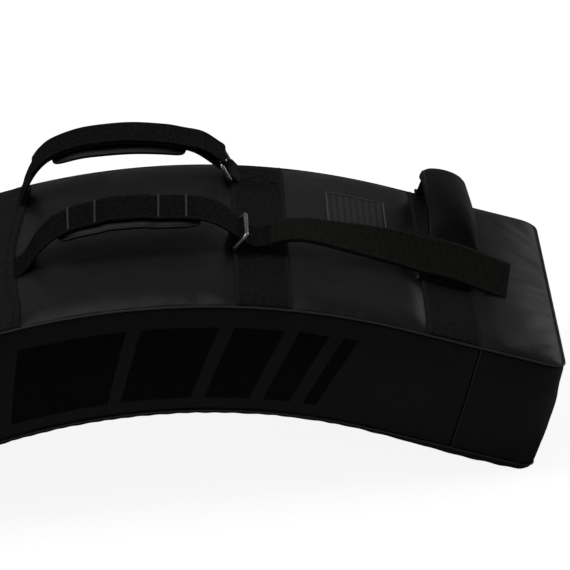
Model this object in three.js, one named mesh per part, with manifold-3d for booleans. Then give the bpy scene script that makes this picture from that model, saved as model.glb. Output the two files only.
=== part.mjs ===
// A curved kick shield: a thick padded slab, bent lengthwise, with two forearm straps
// that have padded grips, and a carry handle across each end.
// Millimetres, +Z up, X along the shield, Y across it. The handle side faces up and
// the shield stands on the two narrow flats of its strike face.
import * as THREE from 'three';
import { mergeVertices } from 'three/addons/utils/BufferGeometryUtils.js';
import Module from 'manifold-3d';

const wasm = await Module();
wasm.setup();

// ---- Driving sizes of the padded body ----
const TOP_RADIUS = 655;
const BEND = THREE.MathUtils.degToRad(20.85);
const END_RUN = 140;
const THICKNESS = 103;
const WIDTH = 344;
const FOOT_CUT = 4;
const SKIN = 2;
const STRIKE_LIP = 6;
const GAP = 0.3;
const FOAM_STRIKE = 30;
const FOAM_CORE = 40;
const ARC_STEPS = 12;

// ---- Webbing bands sewn across the shield, and what is trapped under them ----
const BAND_WIDTH = 48;
const BAND_THICK = 2.5;
const INNER_BAND = 91;
const OUTER_BAND = 256;
const BAND_HEM = 1;
const POCKET_HEIGHT = 2.9;
const POCKET_COVER = 2.1;
const POCKET_SEAM = 4;
const POCKET_MOUTH = 7.5;
const POCKET_SIDE = 2.5;

// ---- Forearm straps, rings and grips ----
const STRAP_WIDTH = 48;
const STRAP_THICK = 2.2;
const FRONT_STRAP_Y = -36;
const REAR_STRAP_Y = 133;
const GRIP_WIDTH = 50;
const GRIP_THICK = 7;
const RING_BAR = 4;
const RING_OPENING = 13;
const RING_SLOT = STRAP_WIDTH + 1.6;
const RING_LEAN_FRONT = THREE.MathUtils.degToRad(43.6);
const RING_LEAN_REAR = THREE.MathUtils.degToRad(114);
const KEEPER_ALONG = 91;
const KEEPER_HEIGHT = 7;
const KEEPER_WALL = 2.1;
const KEEPER_WIDTH = 44;
const FRONT_BASE_CUT = -80;
const FRONT_END_CUT = 86;
const TAIL_CUT = 106;
const REAR_BASE_CUT = -86;
const REAR_END_CUT = 72;
const REAR_END_SLACK = 3.2;
const REAR_TAIL_CUT = 48;

// ---- End handles ----
const END_HANDLE_ALONG = 280;
const END_STRAP_WIDTH = 38;
const END_STRAP_THICK = 2.4;
const SLEEVE_WIDTH = 43;
const SLEEVE_THICK = 13;
const REAR_FOOT_CUT = 146;
const FRONT_FOOT_CUT = -10;

// ---- Label ----
const LABEL_ALONG = 176;
const LABEL_LENGTH = 52;
const LABEL_FRONT = 31;
const LABEL_REAR = 103;
const LABEL_THICK = 0.8;

const ARC_RUN = TOP_RADIUS * BEND;
const HALF_LENGTH = ARC_RUN + END_RUN;
const HALF_WIDTH = WIDTH / 2;

// ---- Materials ----
const vinyl = { color: 0x1d1d1f, roughness: 0.48, metalness: 0 };
const webbing = { color: 0x151516, roughness: 0.85, metalness: 0 };
const foam = { color: 0x3a3a3c, roughness: 0.95, metalness: 0 };
const steel = { color: 0xc9cacc, roughness: 0.25, metalness: 1 };
const printed = { color: 0x101011, roughness: 0.6, metalness: 0 };

const shield = new THREE.Group();

function add(name, geometry, look) {
  const mesh = new THREE.Mesh(geometry, new THREE.MeshStandardMaterial(look));
  mesh.name = name;
  shield.add(mesh);
}

// ---- The bent body's own coordinates ----

// How far below the crest the point lies, and its place along X, for a distance along
// the handle side and a height above it.
function bend(along, height) {
  const turn = Math.min(Math.abs(along), ARC_RUN) / TOP_RADIUS;
  const straight = Math.max(Math.abs(along) - ARC_RUN, 0);
  const x = (TOP_RADIUS + height) * Math.sin(turn) + straight * Math.cos(turn);
  const z = (TOP_RADIUS + height) * Math.cos(turn) - TOP_RADIUS - straight * Math.sin(turn);
  return new THREE.Vector2(Math.sign(along) * x, z);
}

// The crest's height puts the flats of the two lower edges at z = 0.
const CREST = -bend(HALF_LENGTH, -THICKNESS).y - FOOT_CUT;

function place(along, height) {
  const point = bend(along, height);
  point.y += CREST;
  return point;
}

// Distances along the body where its facets meet, between two given ones.
function stations(from, to) {
  const inside = [];
  for (let i = -ARC_STEPS; i <= ARC_STEPS; i += 1) {
    const along = (i / ARC_STEPS) * ARC_RUN;
    if (along > from + 0.5 && along < to - 0.5) {
      inside.push(along);
    }
  }
  return [from, ...inside, to];
}

// Outline of a slab that follows the body's curve between two heights.
function slabOutline(from, to, low, high) {
  const line = stations(from, to);
  const upper = line.map((along) => place(along, high));
  const lower = line.map((along) => place(along, low)).reverse();
  return [...upper, ...lower];
}

// Cuts an outline off at a level, which makes the flats that the shield stands on.
function trimBelow(outline, level) {
  const kept = [];
  outline.forEach((point, i) => {
    const next = outline[(i + 1) % outline.length];
    if (point.y >= level) {
      kept.push(point);
    }
    if ((point.y - level) * (next.y - level) < 0) {
      const share = (level - point.y) / (next.y - point.y);
      kept.push(point.clone().lerp(next, share));
    }
  });
  return kept;
}

// ---- Solids ----

// A side outline (X, Z) drawn out across the shield, from one Y to another.
function prism(outline, yLow, yHigh, hole) {
  const shape = new THREE.Shape(outline);
  if (hole) {
    shape.holes.push(new THREE.Path(hole));
  }
  const geometry = new THREE.ExtrudeGeometry(shape, { depth: yHigh - yLow, bevelEnabled: false });
  geometry.rotateX(Math.PI / 2);
  geometry.translate(0, yHigh, 0);
  return geometry;
}

// The same with its long edges rounded off.
function softPrism(outline, yLow, yHigh, round) {
  const geometry = new THREE.ExtrudeGeometry(new THREE.Shape(outline), {
    depth: yHigh - yLow - 2 * round,
    bevelThickness: round,
    bevelSize: round,
    bevelOffset: -round,
    bevelSegments: 3,
  });
  geometry.rotateX(Math.PI / 2);
  geometry.translate(0, yHigh - round, 0);
  return geometry;
}

function toSolid(geometry) {
  const bare = geometry.clone();
  bare.deleteAttribute('normal');
  bare.deleteAttribute('uv');
  const merged = mergeVertices(bare, 1e-4);
  return new wasm.Manifold(new wasm.Mesh({
    numProp: 3,
    vertProperties: new Float32Array(merged.attributes.position.array),
    triVerts: new Uint32Array(merged.index.array),
  }));
}

function toGeometry(solid) {
  const mesh = solid.getMesh();
  const geometry = new THREE.BufferGeometry();
  geometry.setAttribute('position', new THREE.BufferAttribute(mesh.vertProperties, 3));
  geometry.setIndex(new THREE.BufferAttribute(mesh.triVerts, 1));
  geometry.computeVertexNormals();
  return geometry;
}

// The part of a geometry between two X planes, or between two Y planes.
function between(geometry, axis, low, high) {
  const far = 1000;
  const size = { x: 2 * far, y: 2 * far, z: 2 * far };
  const centre = { x: 0, y: 0, z: 0 };
  size[axis] = high - low;
  centre[axis] = (high + low) / 2;
  const box = new THREE.BoxGeometry(size.x, size.y, size.z);
  box.translate(centre.x, centre.y, centre.z);
  return toGeometry(toSolid(geometry).intersect(toSolid(box)));
}

// ---- Strips that follow a line ----

function smooth(points, count) {
  return new THREE.SplineCurve(points).getPoints(count);
}

// A line moved sideways by an even distance, to its left as it runs.
function offsetLine(line, distance) {
  return line.map((point, i) => {
    const before = line[Math.max(i - 1, 0)];
    const after = line[Math.min(i + 1, line.length - 1)];
    const run = after.clone().sub(before).normalize();
    return new THREE.Vector2(point.x - run.y * distance, point.y + run.x * distance);
  });
}

// Outline of a strip of even thickness along a line of points.
function stripOutline(line, thick) {
  return [...offsetLine(line, -thick / 2), ...offsetLine(line, thick / 2).reverse()];
}

// A line given by distances along the body and heights above it.
function route(pairs) {
  return pairs.map(([along, height]) => place(along, height));
}

// ---- The padded body ----

function makeFoam() {
  const inset = SKIN + GAP;
  const strikeTop = -THICKNESS + inset + FOAM_STRIKE;
  const coreTop = strikeTop + GAP + FOAM_CORE;
  const layers = [
    ['foam_strike_layer', -THICKNESS + inset, strikeTop],
    ['foam_core_layer', strikeTop + GAP, coreTop],
    ['foam_back_layer', coreTop + GAP, -inset],
  ];
  for (const [name, low, high] of layers) {
    const end = HALF_LENGTH - inset;
    const outline = trimBelow(slabOutline(-end, end, low, high), inset);
    add(name, prism(outline, -HALF_WIDTH + inset, HALF_WIDTH - inset), foam);
  }
}

function makeSkins() {
  add('back_panel', prism(slabOutline(-HALF_LENGTH, HALF_LENGTH, -SKIN, 0), -HALF_WIDTH, HALF_WIDTH), vinyl);

  // The strike face turns up all round into a low lip.
  const lipTop = -THICKNESS + STRIKE_LIP;
  const trayOutline = trimBelow(slabOutline(-HALF_LENGTH, HALF_LENGTH, -THICKNESS, lipTop), 0);
  const hollowEnd = HALF_LENGTH - SKIN;
  const hollowOutline = trimBelow(slabOutline(-hollowEnd, hollowEnd, -THICKNESS + SKIN, lipTop + SKIN), SKIN);
  const tray = toSolid(prism(trayOutline, -HALF_WIDTH, HALF_WIDTH));
  const hollow = toSolid(prism(hollowOutline, -HALF_WIDTH + SKIN, HALF_WIDTH - SKIN));
  add('strike_panel', toGeometry(tray.subtract(hollow)), vinyl);

  const wallLow = lipTop + GAP;
  const wallHigh = -SKIN - GAP;
  const seam = OUTER_BAND + BAND_WIDTH;
  const wall = slabOutline(-seam + GAP / 2, seam - GAP / 2, wallLow, wallHigh);
  add('front_side_panel', prism(wall, -HALF_WIDTH, -HALF_WIDTH + SKIN), vinyl);
  add('rear_side_panel', prism(wall, HALF_WIDTH - SKIN, HALF_WIDTH), vinyl);

  // Each end panel goes round the end, with a return on each long side.
  for (const [name, side] of [['left_end_panel', -1], ['right_end_panel', 1]]) {
    const ends = [seam + GAP / 2, HALF_LENGTH].map((along) => along * side).sort((a, b) => a - b);
    const inner = [seam - 20, HALF_LENGTH - SKIN].map((along) => along * side).sort((a, b) => a - b);
    const outer = toSolid(prism(slabOutline(...ends, wallLow, wallHigh), -HALF_WIDTH, HALF_WIDTH));
    const core = slabOutline(...inner, wallLow - 5, wallHigh + 5);
    const cut = toSolid(prism(core, -HALF_WIDTH + SKIN, HALF_WIDTH - SKIN));
    add(name, toGeometry(outer.subtract(cut)), vinyl);
  }
}

// ---- Webbing bands ----

// A band across the shield. Each pocket lets a tab come out at the band's inner edge.
function band(side, start, pockets) {
  const edge = (from, to) => [side * (start + from), side * (start + to)].sort((a, b) => a - b);
  const yEnd = HALF_WIDTH - BAND_HEM;
  const strip = slabOutline(...edge(0, BAND_WIDTH), GAP, GAP + BAND_THICK);
  let solid = toSolid(prism(strip, -yEnd, yEnd));
  for (const { y, width } of pockets) {
    const half = width / 2 + GAP;
    const cover = slabOutline(...edge(POCKET_MOUTH, BAND_WIDTH), GAP, POCKET_HEIGHT + POCKET_COVER);
    const coverHalf = half + POCKET_SIDE;
    solid = solid.add(toSolid(prism(cover, y - coverHalf, y + coverHalf)));
    const inside = slabOutline(...edge(POCKET_MOUTH - 1, BAND_WIDTH - POCKET_SEAM), -1, POCKET_HEIGHT);
    solid = solid.subtract(toSolid(prism(inside, y - half, y + half)));
    const mouth = slabOutline(...edge(-5, POCKET_MOUTH), -1, 2 * POCKET_HEIGHT);
    solid = solid.subtract(toSolid(prism(mouth, y - half, y + half)));
  }
  return toGeometry(solid);
}

function makeBands() {
  const strapPockets = [FRONT_STRAP_Y, REAR_STRAP_Y].map((y) => ({ y, width: STRAP_WIDTH }));
  const keeperPockets = [FRONT_STRAP_Y, REAR_STRAP_Y].map((y) => ({ y, width: KEEPER_WIDTH }));
  add('left_inner_band', band(-1, INNER_BAND, strapPockets), webbing);
  add('right_inner_band', band(1, INNER_BAND, keeperPockets), webbing);
  add('left_outer_band', band(-1, OUTER_BAND, []), webbing);
  add('right_outer_band', band(1, OUTER_BAND, []), webbing);
}

// ---- Forearm straps ----

const TAB_END = INNER_BAND + BAND_WIDTH - POCKET_SEAM - 2;

function ringCentre(lean, share) {
  const pivot = place(KEEPER_ALONG, KEEPER_HEIGHT);
  const reach = (RING_OPENING + RING_BAR) * share;
  return pivot.add(new THREE.Vector2(Math.cos(lean), Math.sin(lean)).multiplyScalar(reach));
}

function strapPiece(name, line, y, low, high) {
  const whole = prism(stripOutline(line, STRAP_THICK), y - STRAP_WIDTH / 2, y + STRAP_WIDTH / 2);
  add(name, between(whole, 'x', low, high), webbing);
}

// A grip lies under the strap and follows it.
function makeGrip(name, line, y, low, high) {
  const under = STRAP_THICK / 2 + GAP + GRIP_THICK / 2;
  const coarse = line.filter((point, i) => i % 3 === 0);
  const lowered = offsetLine(coarse, -under).filter((point) => point.x > low && point.x < high);
  const outline = stripOutline(lowered, GRIP_THICK);
  add(name, softPrism(outline, y - GRIP_WIDTH / 2, y + GRIP_WIDTH / 2, 2.2), vinyl);
}

// A rectangular wire ring, with its fixed bar in the keeper and its free bar up the lean.
function makeRing(name, lean, y) {
  const round = RING_BAR * 0.42;
  const halfLong = RING_SLOT / 2 + RING_BAR;
  const halfShort = RING_OPENING / 2 + RING_BAR;
  const shape = new THREE.Shape(roundedBox(halfLong, halfShort, 4));
  shape.holes.push(new THREE.Path(roundedBox(RING_SLOT / 2, RING_OPENING / 2, 1.2)));
  const geometry = new THREE.ExtrudeGeometry(shape, {
    depth: RING_BAR - 2 * round,
    bevelThickness: round,
    bevelSize: round,
    bevelOffset: -round,
    bevelSegments: 2,
  });
  geometry.translate(0, 0, -(RING_BAR - 2 * round) / 2);
  geometry.rotateZ(Math.PI / 2);
  geometry.rotateY(-lean);
  const centre = ringCentre(lean, 0.5);
  geometry.translate(centre.x, y, centre.y);
  add(name, geometry, steel);
}

function roundedBox(halfX, halfY, radius) {
  const corners = [[1, 1, 0], [-1, 1, 1], [-1, -1, 2], [1, -1, 3]];
  const steps = 3;
  return corners.flatMap(([sx, sy, quarter]) => {
    const points = [];
    for (let i = 0; i <= steps; i += 1) {
      const angle = (quarter + i / steps) * (Math.PI / 2);
      const x = sx * (halfX - radius) + radius * Math.cos(angle);
      const y = sy * (halfY - radius) + radius * Math.sin(angle);
      points.push(new THREE.Vector2(x, y));
    }
    return points;
  });
}

// A webbing loop round the ring's fixed bar, with its two layers sewn under the band.
function makeKeeper(name, y) {
  const inner = RING_BAR / 2 + GAP;
  const holeSides = 12;
  const outer = inner + KEEPER_WALL;
  const tabHigh = POCKET_HEIGHT - GAP;
  const arcSteps = 14;
  const centre = place(KEEPER_ALONG, KEEPER_HEIGHT);
  const circle = (radius, from, to, steps) => {
    const points = [];
    for (let i = 0; i <= steps; i += 1) {
      const angle = from + ((to - from) * i) / steps;
      points.push(new THREE.Vector2(centre.x + radius * Math.cos(angle), centre.y + radius * Math.sin(angle)));
    }
    return points;
  };
  const tab = [
    place(TAB_END, tabHigh),
    place(KEEPER_ALONG + outer + 1, tabHigh),
  ];
  const loop = circle(outer, -Math.PI * 0.2, Math.PI * 1.35, arcSteps);
  const base = [
    place(KEEPER_ALONG - 1, GAP),
    ...stations(KEEPER_ALONG + 5, TAB_END).map((along) => place(along, GAP)),
  ];
  const hole = circle(inner / Math.cos(Math.PI / holeSides), 0, 2 * Math.PI, holeSides).slice(0, -1);
  add(name, prism([...tab, ...loop, ...base], y - KEEPER_WIDTH / 2, y + KEEPER_WIDTH / 2, hole), webbing);
}

// The front strap is undone: it runs through its ring and its tail lies out to the right.
function makeFrontStrap() {
  const run = smooth(route([
    [-TAB_END, 1.5], [-125, 1.5], [-110, 1.5], [-98, 1.5], [-93.5, 2.9], [-89, 5.8],
    [-83, 11.5], [-77, 18], [-70, 23.5], [-61, 29.5], [-49, 34], [-36, 36.8], [-12, 38],
    [20, 37.4], [50, 36.4], [65, 34.6], [76, 31], [84, 26.5], [91, 21], [98, 15],
    [105, 10.4], [112, 10], [123, 12.5],
  ]), 90);
  const tail = smooth(route([
    [104, 10.6], [112, 10], [123, 12.5], [147, 19], [188, 18], [228, 18], [254, 17.6],
    [282, 17.9], [311, 14.6], [333, 11.4],
  ]), 30);
  strapPiece('front_strap_base', run, FRONT_STRAP_Y, -500, FRONT_BASE_CUT);
  strapPiece('front_strap', run, FRONT_STRAP_Y, FRONT_BASE_CUT + GAP, FRONT_END_CUT);
  strapPiece('front_strap_end', run, FRONT_STRAP_Y, FRONT_END_CUT + GAP, TAIL_CUT);
  makeTail(tail);
  makeGrip('front_grip', run, FRONT_STRAP_Y, -58, 66);
  makeRing('front_ring', RING_LEAN_FRONT, FRONT_STRAP_Y);
  makeKeeper('front_ring_keeper', FRONT_STRAP_Y);
}

// The tail's rear edge rides up on the end handle's foot, so the tail twists along its run.
function makeTail(line) {
  const steepest = THREE.MathUtils.degToRad(22);
  const under = offsetLine(line, -STRAP_THICK / 2);
  const over = offsetLine(line, STRAP_THICK / 2);
  const vertices = [];
  line.forEach((point, i) => {
    const share = THREE.MathUtils.smoothstep(point.x, 130, END_HANDLE_ALONG);
    const rise = (STRAP_WIDTH / 2) * Math.tan(steepest * share);
    const front = FRONT_STRAP_Y - STRAP_WIDTH / 2;
    const rear = FRONT_STRAP_Y + STRAP_WIDTH / 2;
    vertices.push(under[i].x, front, under[i].y - rise);
    vertices.push(under[i].x, rear, under[i].y + rise);
    vertices.push(over[i].x, rear, over[i].y + rise);
    vertices.push(over[i].x, front, over[i].y - rise);
  });
  const faces = [];
  for (let i = 0; i + 1 < line.length; i += 1) {
    for (let corner = 0; corner < 4; corner += 1) {
      const here = 4 * i + corner;
      const beside = 4 * i + ((corner + 1) % 4);
      faces.push(here, beside, beside + 4, here, beside + 4, here + 4);
    }
  }
  const last = 4 * (line.length - 1);
  faces.push(0, 2, 1, 0, 3, 2);
  faces.push(last, last + 1, last + 2, last, last + 2, last + 3);
  const whole = new THREE.BufferGeometry();
  whole.setAttribute('position', new THREE.Float32BufferAttribute(vertices, 3));
  whole.setIndex(faces);
  add('front_tail', between(whole, 'x', TAIL_CUT + GAP, 500), webbing);
}

// The rear strap is done up: it goes round its ring's free bar and back over the grip.
function makeRearStrap() {
  const bar = ringCentre(RING_LEAN_REAR, 1);
  const turnRadius = RING_BAR / 2 + GAP + STRAP_THICK / 2;
  const slope = THREE.MathUtils.degToRad(32);
  const lower = smooth([
    ...route([
      [-TAB_END, 1.5], [-125, 1.5], [-106, 1.5], [-98.5, 1.5], [-93, 6], [-88.7, 17],
      [-80, 28.5], [-70, 37.2], [-58, 42.8], [-40, 45.6], [-21, 46.2], [6, 45.2],
      [33, 41.4], [50, 37], [63, 31.6],
    ]),
    new THREE.Vector2(bar.x - turnRadius * Math.sin(slope), bar.y - turnRadius * Math.cos(slope)),
  ], 90);
  const turn = [];
  for (let i = 1; i < 12; i += 1) {
    const angle = -Math.PI / 2 - slope + (i / 12) * Math.PI;
    turn.push(new THREE.Vector2(bar.x + turnRadius * Math.cos(angle), bar.y + turnRadius * Math.sin(angle)));
  }
  const layer = STRAP_THICK + GAP + 0.1;
  const upper = smooth([
    new THREE.Vector2(bar.x + turnRadius * Math.sin(slope), bar.y + turnRadius * Math.cos(slope)),
    ...route([
      [67, 33.2 + layer], [50, 37.6 + layer], [33, 41.6 + layer], [6, 45.3 + layer], [-21, 46.2 + layer],
      [-40, 45.7 + layer], [-59, 43.3 + layer], [-71.5, 38.8 + layer], [-81, 31 + layer],
    ]),
  ], 60);
  const nearRing = lower.filter((point) => point.x > REAR_END_CUT - 8);
  const fold = [...nearRing, ...turn, ...upper.filter((point) => point.x > REAR_END_CUT - 8)];
  strapPiece('rear_strap_base', lower, REAR_STRAP_Y, -500, REAR_BASE_CUT);
  strapPiece('rear_strap', lower, REAR_STRAP_Y, REAR_BASE_CUT + GAP, REAR_END_CUT - REAR_END_SLACK);
  strapPiece('rear_strap_fold', fold, REAR_STRAP_Y, REAR_END_CUT, 500);
  strapPiece('rear_strap_return', upper, REAR_STRAP_Y, REAR_TAIL_CUT + GAP, REAR_END_CUT - REAR_END_SLACK);
  strapPiece('rear_tail', upper, REAR_STRAP_Y, -500, REAR_TAIL_CUT);
  makeGrip('rear_grip', lower, REAR_STRAP_Y, -66, 54);
  makeRing('rear_ring', RING_LEAN_REAR, REAR_STRAP_Y);
  makeKeeper('rear_ring_keeper', REAR_STRAP_Y);
}

// ---- End handles ----

// The handle's side outline, from its rear foot to its front foot, as Y and height.
const END_ARCH = [
  [166, 4.4], [158, 4.4], [151, 6.2], [146.5, 14], [140, 27], [127, 36.5], [104, 41.5],
  [62, 42.5], [32, 38.6], [8, 28.5], [-14, 19], [-34, 10.2], [-48, 5.6], [-58, 4.4], [-68, 4.4],
];

// Sweeps a strip of the arch across the band, then sets it on the sloping end of the body.
function archPiece(line, width, thick, side, round) {
  const outline = stripOutline(line, thick);
  const geometry = round
    ? softPrism(outline, -width / 2, width / 2, round)
    : prism(outline, -width / 2, width / 2);
  geometry.rotateZ(Math.PI / 2);
  const base = place(side * END_HANDLE_ALONG, 0);
  geometry.rotateY(side * BEND);
  geometry.translate(base.x, 0, base.y);
  return geometry;
}

function makeEndHandle(prefix, side) {
  const arch = smooth(END_ARCH.map(([y, height]) => new THREE.Vector2(y, height)), 36);
  const strap = archPiece(arch, END_STRAP_WIDTH, END_STRAP_THICK, side, 0);
  add(`${prefix}_end_handle_rear_foot`, between(strap, 'y', REAR_FOOT_CUT, 500), webbing);
  add(`${prefix}_end_handle_front_foot`, between(strap, 'y', -500, FRONT_FOOT_CUT), webbing);
  const moving = between(strap, 'y', FRONT_FOOT_CUT + GAP, REAR_FOOT_CUT - GAP);
  add(`${prefix}_end_handle_strap`, moving, webbing);

  const covered = arch.filter((point) => point.x > -2 && point.x < 137);
  const channel = arch.filter((point) => point.x > -16 && point.x < 148);
  const sleeve = toSolid(archPiece(covered, SLEEVE_WIDTH, SLEEVE_THICK, side, 4));
  const slot = toSolid(archPiece(channel, END_STRAP_WIDTH + 2 * GAP, END_STRAP_THICK + 2 * GAP, side, 0));
  add(`${prefix}_end_handle_sleeve`, toGeometry(sleeve.subtract(slot)), vinyl);
}

function makeLabel() {
  const outline = slabOutline(LABEL_ALONG, LABEL_ALONG + LABEL_LENGTH, GAP, GAP + LABEL_THICK);
  add('label_patch', prism(outline, LABEL_FRONT, LABEL_REAR), printed);
}

makeFoam();
makeSkins();
makeBands();
makeFrontStrap();
makeRearStrap();
makeEndHandle('right', 1);
makeEndHandle('left', -1);
makeLabel();

export default shield;
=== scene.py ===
# %% [markdown]
# # A curved kick shield with forearm straps and end handles
# The object is a padded, arched shield: vinyl sewn over foam, four webbing bands across it,
# two forearm straps with wire rings, and a sleeved carrying handle at each end.
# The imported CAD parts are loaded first. They never move. Everything made below is laid on them.

import math
import bpy
import bmesh
import numpy as np
from mathutils import Matrix, Vector, noise
from mathutils.bvhtree import BVHTree
from mathutils.kdtree import KDTree


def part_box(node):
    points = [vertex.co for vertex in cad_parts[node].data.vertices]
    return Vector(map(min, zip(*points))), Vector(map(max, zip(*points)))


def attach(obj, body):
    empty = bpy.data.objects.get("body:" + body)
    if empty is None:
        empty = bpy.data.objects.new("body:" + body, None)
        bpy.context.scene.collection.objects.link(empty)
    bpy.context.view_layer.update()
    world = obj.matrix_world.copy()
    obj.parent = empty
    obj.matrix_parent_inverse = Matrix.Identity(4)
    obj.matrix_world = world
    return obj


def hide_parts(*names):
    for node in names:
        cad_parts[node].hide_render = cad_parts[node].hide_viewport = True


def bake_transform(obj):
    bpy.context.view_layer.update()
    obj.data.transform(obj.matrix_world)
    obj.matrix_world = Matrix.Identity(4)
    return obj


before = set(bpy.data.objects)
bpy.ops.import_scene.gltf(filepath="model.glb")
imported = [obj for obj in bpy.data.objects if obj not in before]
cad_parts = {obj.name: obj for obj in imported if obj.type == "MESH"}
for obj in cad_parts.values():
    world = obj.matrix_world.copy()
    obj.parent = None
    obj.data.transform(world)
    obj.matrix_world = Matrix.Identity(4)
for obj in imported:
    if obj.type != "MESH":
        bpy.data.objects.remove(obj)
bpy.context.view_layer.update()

# %% [markdown]
# ## Driving sizes
# The shield is a slab bent round a large circle, with a straight run at each end.
# The same few numbers that cut the real pattern place every later piece, so they come once, here.
# The crest height and the half width are read from the frame.

# %% Driving sizes, in metres
MM = 0.001
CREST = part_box("back_panel")[1].z
HALF_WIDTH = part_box("back_panel")[1].y
TOP_RADIUS = 655 * MM
BEND = math.radians(20.85)
ARC_RUN = TOP_RADIUS * BEND
HALF_LENGTH = ARC_RUN + 140 * MM
THICKNESS = 103 * MM
STRIKE_LIP = 6 * MM
BAND_WIDTH = 48 * MM
INNER_BAND = 91 * MM
OUTER_BAND = 256 * MM
END_SEAM = OUTER_BAND + BAND_WIDTH
FRONT_STRAP_Y = -36 * MM
REAR_STRAP_Y = 133 * MM
STRAP_WIDTH = 48 * MM
STRAP_THICK = 2.2 * MM


def bend(along, height):
    """Where a spot on the flat pattern comes to lie: distance along the body and height above its back."""
    turn = np.clip(along, -ARC_RUN, ARC_RUN) / TOP_RADIUS
    straight = along - turn * TOP_RADIUS
    x = (TOP_RADIUS + height) * np.sin(turn) + straight * np.cos(turn)
    z = CREST + (TOP_RADIUS + height) * np.cos(turn) - TOP_RADIUS - straight * np.sin(turn)
    return x, z


def spot(along, y, height):
    """The same place as one point."""
    x, z = bend(along, height)
    return Vector((float(x), float(y), float(z)))


def outward(along):
    """The direction straight out of the back at that distance along."""
    turn = max(-ARC_RUN, min(ARC_RUN, along)) / TOP_RADIUS
    return Vector((math.sin(turn), 0, math.cos(turn)))


print("half length along the arc:", round(HALF_LENGTH, 4), "crest:", round(CREST, 4))

# %% [markdown]
# ## Camera
# A long lens far away keeps the shield's sides almost parallel. The camera stands in front of the long
# side, a little above it, and leans slightly, so the arch runs down to the right.

# %% Place the camera
CAMERA_TARGET = Vector((0.1317, 0, 0.1233))
CAMERA_DISTANCE = 4.0
CAMERA_RISE = math.radians(21.73)
CAMERA_YAW = math.radians(-0.70)
CAMERA_ROLL = math.radians(5.95)


def place_camera():
    look = Vector((
        math.sin(CAMERA_YAW) * math.cos(CAMERA_RISE),
        math.cos(CAMERA_YAW) * math.cos(CAMERA_RISE),
        -math.sin(CAMERA_RISE),
    ))
    level = Vector((math.cos(CAMERA_YAW), -math.sin(CAMERA_YAW), 0))
    top = level.cross(look)
    right = level * math.cos(CAMERA_ROLL) - top * math.sin(CAMERA_ROLL)
    up = level * math.sin(CAMERA_ROLL) + top * math.cos(CAMERA_ROLL)
    data = bpy.data.cameras.new("camera")
    data.lens = 287
    data.sensor_width = 36
    camera = bpy.data.objects.new("camera", data)
    bpy.context.scene.collection.objects.link(camera)
    turn = Matrix((right, up, -look)).transposed().to_4x4()
    camera.matrix_world = Matrix.Translation(CAMERA_TARGET - look * CAMERA_DISTANCE) @ turn
    bpy.context.scene.camera = camera
    return camera


print("camera at", [round(v, 3) for v in place_camera().location])

# %% [markdown]
# ## Small helpers for mesh work
# Most soft pieces here are made from numbered points and faces, so one helper turns lists into an object.
# A second one draws a smooth line through a few given points, the way a strap lies between its ends.

# %% Helpers: make a mesh, draw a smooth line, find places along it
MATERIALS = {}


def new_object(name, points, faces, material, uvs=None, smooth=True):
    """A mesh object from points and faces. uvs holds one (u, v) for each point, in metres."""
    mesh = bpy.data.meshes.new(name)
    mesh.from_pydata([tuple(p) for p in points], [], faces)
    mesh.validate()
    if uvs is not None:
        layer = mesh.uv_layers.new(name="cloth")
        for loop in mesh.loops:
            layer.data[loop.index].uv = uvs[loop.vertex_index]
    mesh.polygons.foreach_set("use_smooth", [smooth] * len(mesh.polygons))
    obj = bpy.data.objects.new(name, mesh)
    bpy.context.scene.collection.objects.link(obj)
    mesh.materials.append(material)
    return obj


def smooth_line(points, count):
    """A Catmull-Rom line through points, cut into count even steps."""
    p = np.array(points, float)
    p = np.vstack([2 * p[0] - p[1], p, 2 * p[-1] - p[-2]])
    t = np.linspace(0, 1, 12, endpoint=False)[:, None]
    fine = []
    for a, b, c, d in zip(p[:-3], p[1:-2], p[2:-1], p[3:]):
        bow = 2 * b + (c - a) * t + (2 * a - 5 * b + 4 * c - d) * t**2 + (3 * b - a - 3 * c + d) * t**3
        fine.append(bow / 2)
    fine = np.vstack(fine + [p[-2:-1]])
    return even_steps(fine, count)


def even_steps(line, count):
    """The same line cut into count steps of one length."""
    gone = np.r_[0, np.cumsum(np.linalg.norm(np.diff(line, axis=0), axis=1))]
    where = np.linspace(0, gone[-1], count + 1)
    return np.column_stack([np.interp(where, gone, line[:, axis]) for axis in range(line.shape[1])])


def ease(low, high, value):
    """0 below low, 1 above high, and a soft turn between."""
    t = np.clip((value - low) / (high - low), 0, 1)
    return t * t * (3 - 2 * t)


def route(pairs):
    """Side-view points (x, z) from (distance along, height) pairs in millimetres."""
    return np.array([bend(along * MM, height * MM) for along, height in pairs])


# %% [markdown]
# ## Shared effects for the materials
# Three effects turn up in several materials: the fine grain of coated cloth, the weave of webbing, and
# the slow change of tone that handling leaves. Each is a node group with its own inputs, built once.
# The groups give out only heights and tones. The shaders stay in the materials.

# %% Node group helpers
class Wires:
    """Adds nodes to a tree and joins them with short calls."""

    def __init__(self, tree):
        self.tree = tree

    def node(self, kind, **settings):
        made = self.tree.nodes.new(kind)
        for key, value in settings.items():
            setattr(made, key, value)
        return made

    def put(self, value, socket):
        if isinstance(value, bpy.types.NodeSocket):
            self.tree.links.new(value, socket)
        else:
            socket.default_value = value

    def math(self, what, a, b=0.0, c=0.0):
        made = self.node("ShaderNodeMath", operation=what)
        for value, socket in zip((a, b, c), made.inputs):
            self.put(value, socket)
        return made.outputs[0]

    def span(self, value, low, high, to_low, to_high):
        made = self.node("ShaderNodeMapRange", clamp=True)
        for number, socket in zip((value, low, high, to_low, to_high), made.inputs):
            self.put(number, socket)
        return made.outputs[0]

    def noise(self, where, scale, detail=3.0, roughness=0.5):
        made = self.node("ShaderNodeTexNoise")
        self.put(where, made.inputs["Vector"])
        self.put(scale, made.inputs["Scale"])
        made.inputs["Detail"].default_value = detail
        made.inputs["Roughness"].default_value = roughness
        return made.outputs["Fac"]


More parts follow.
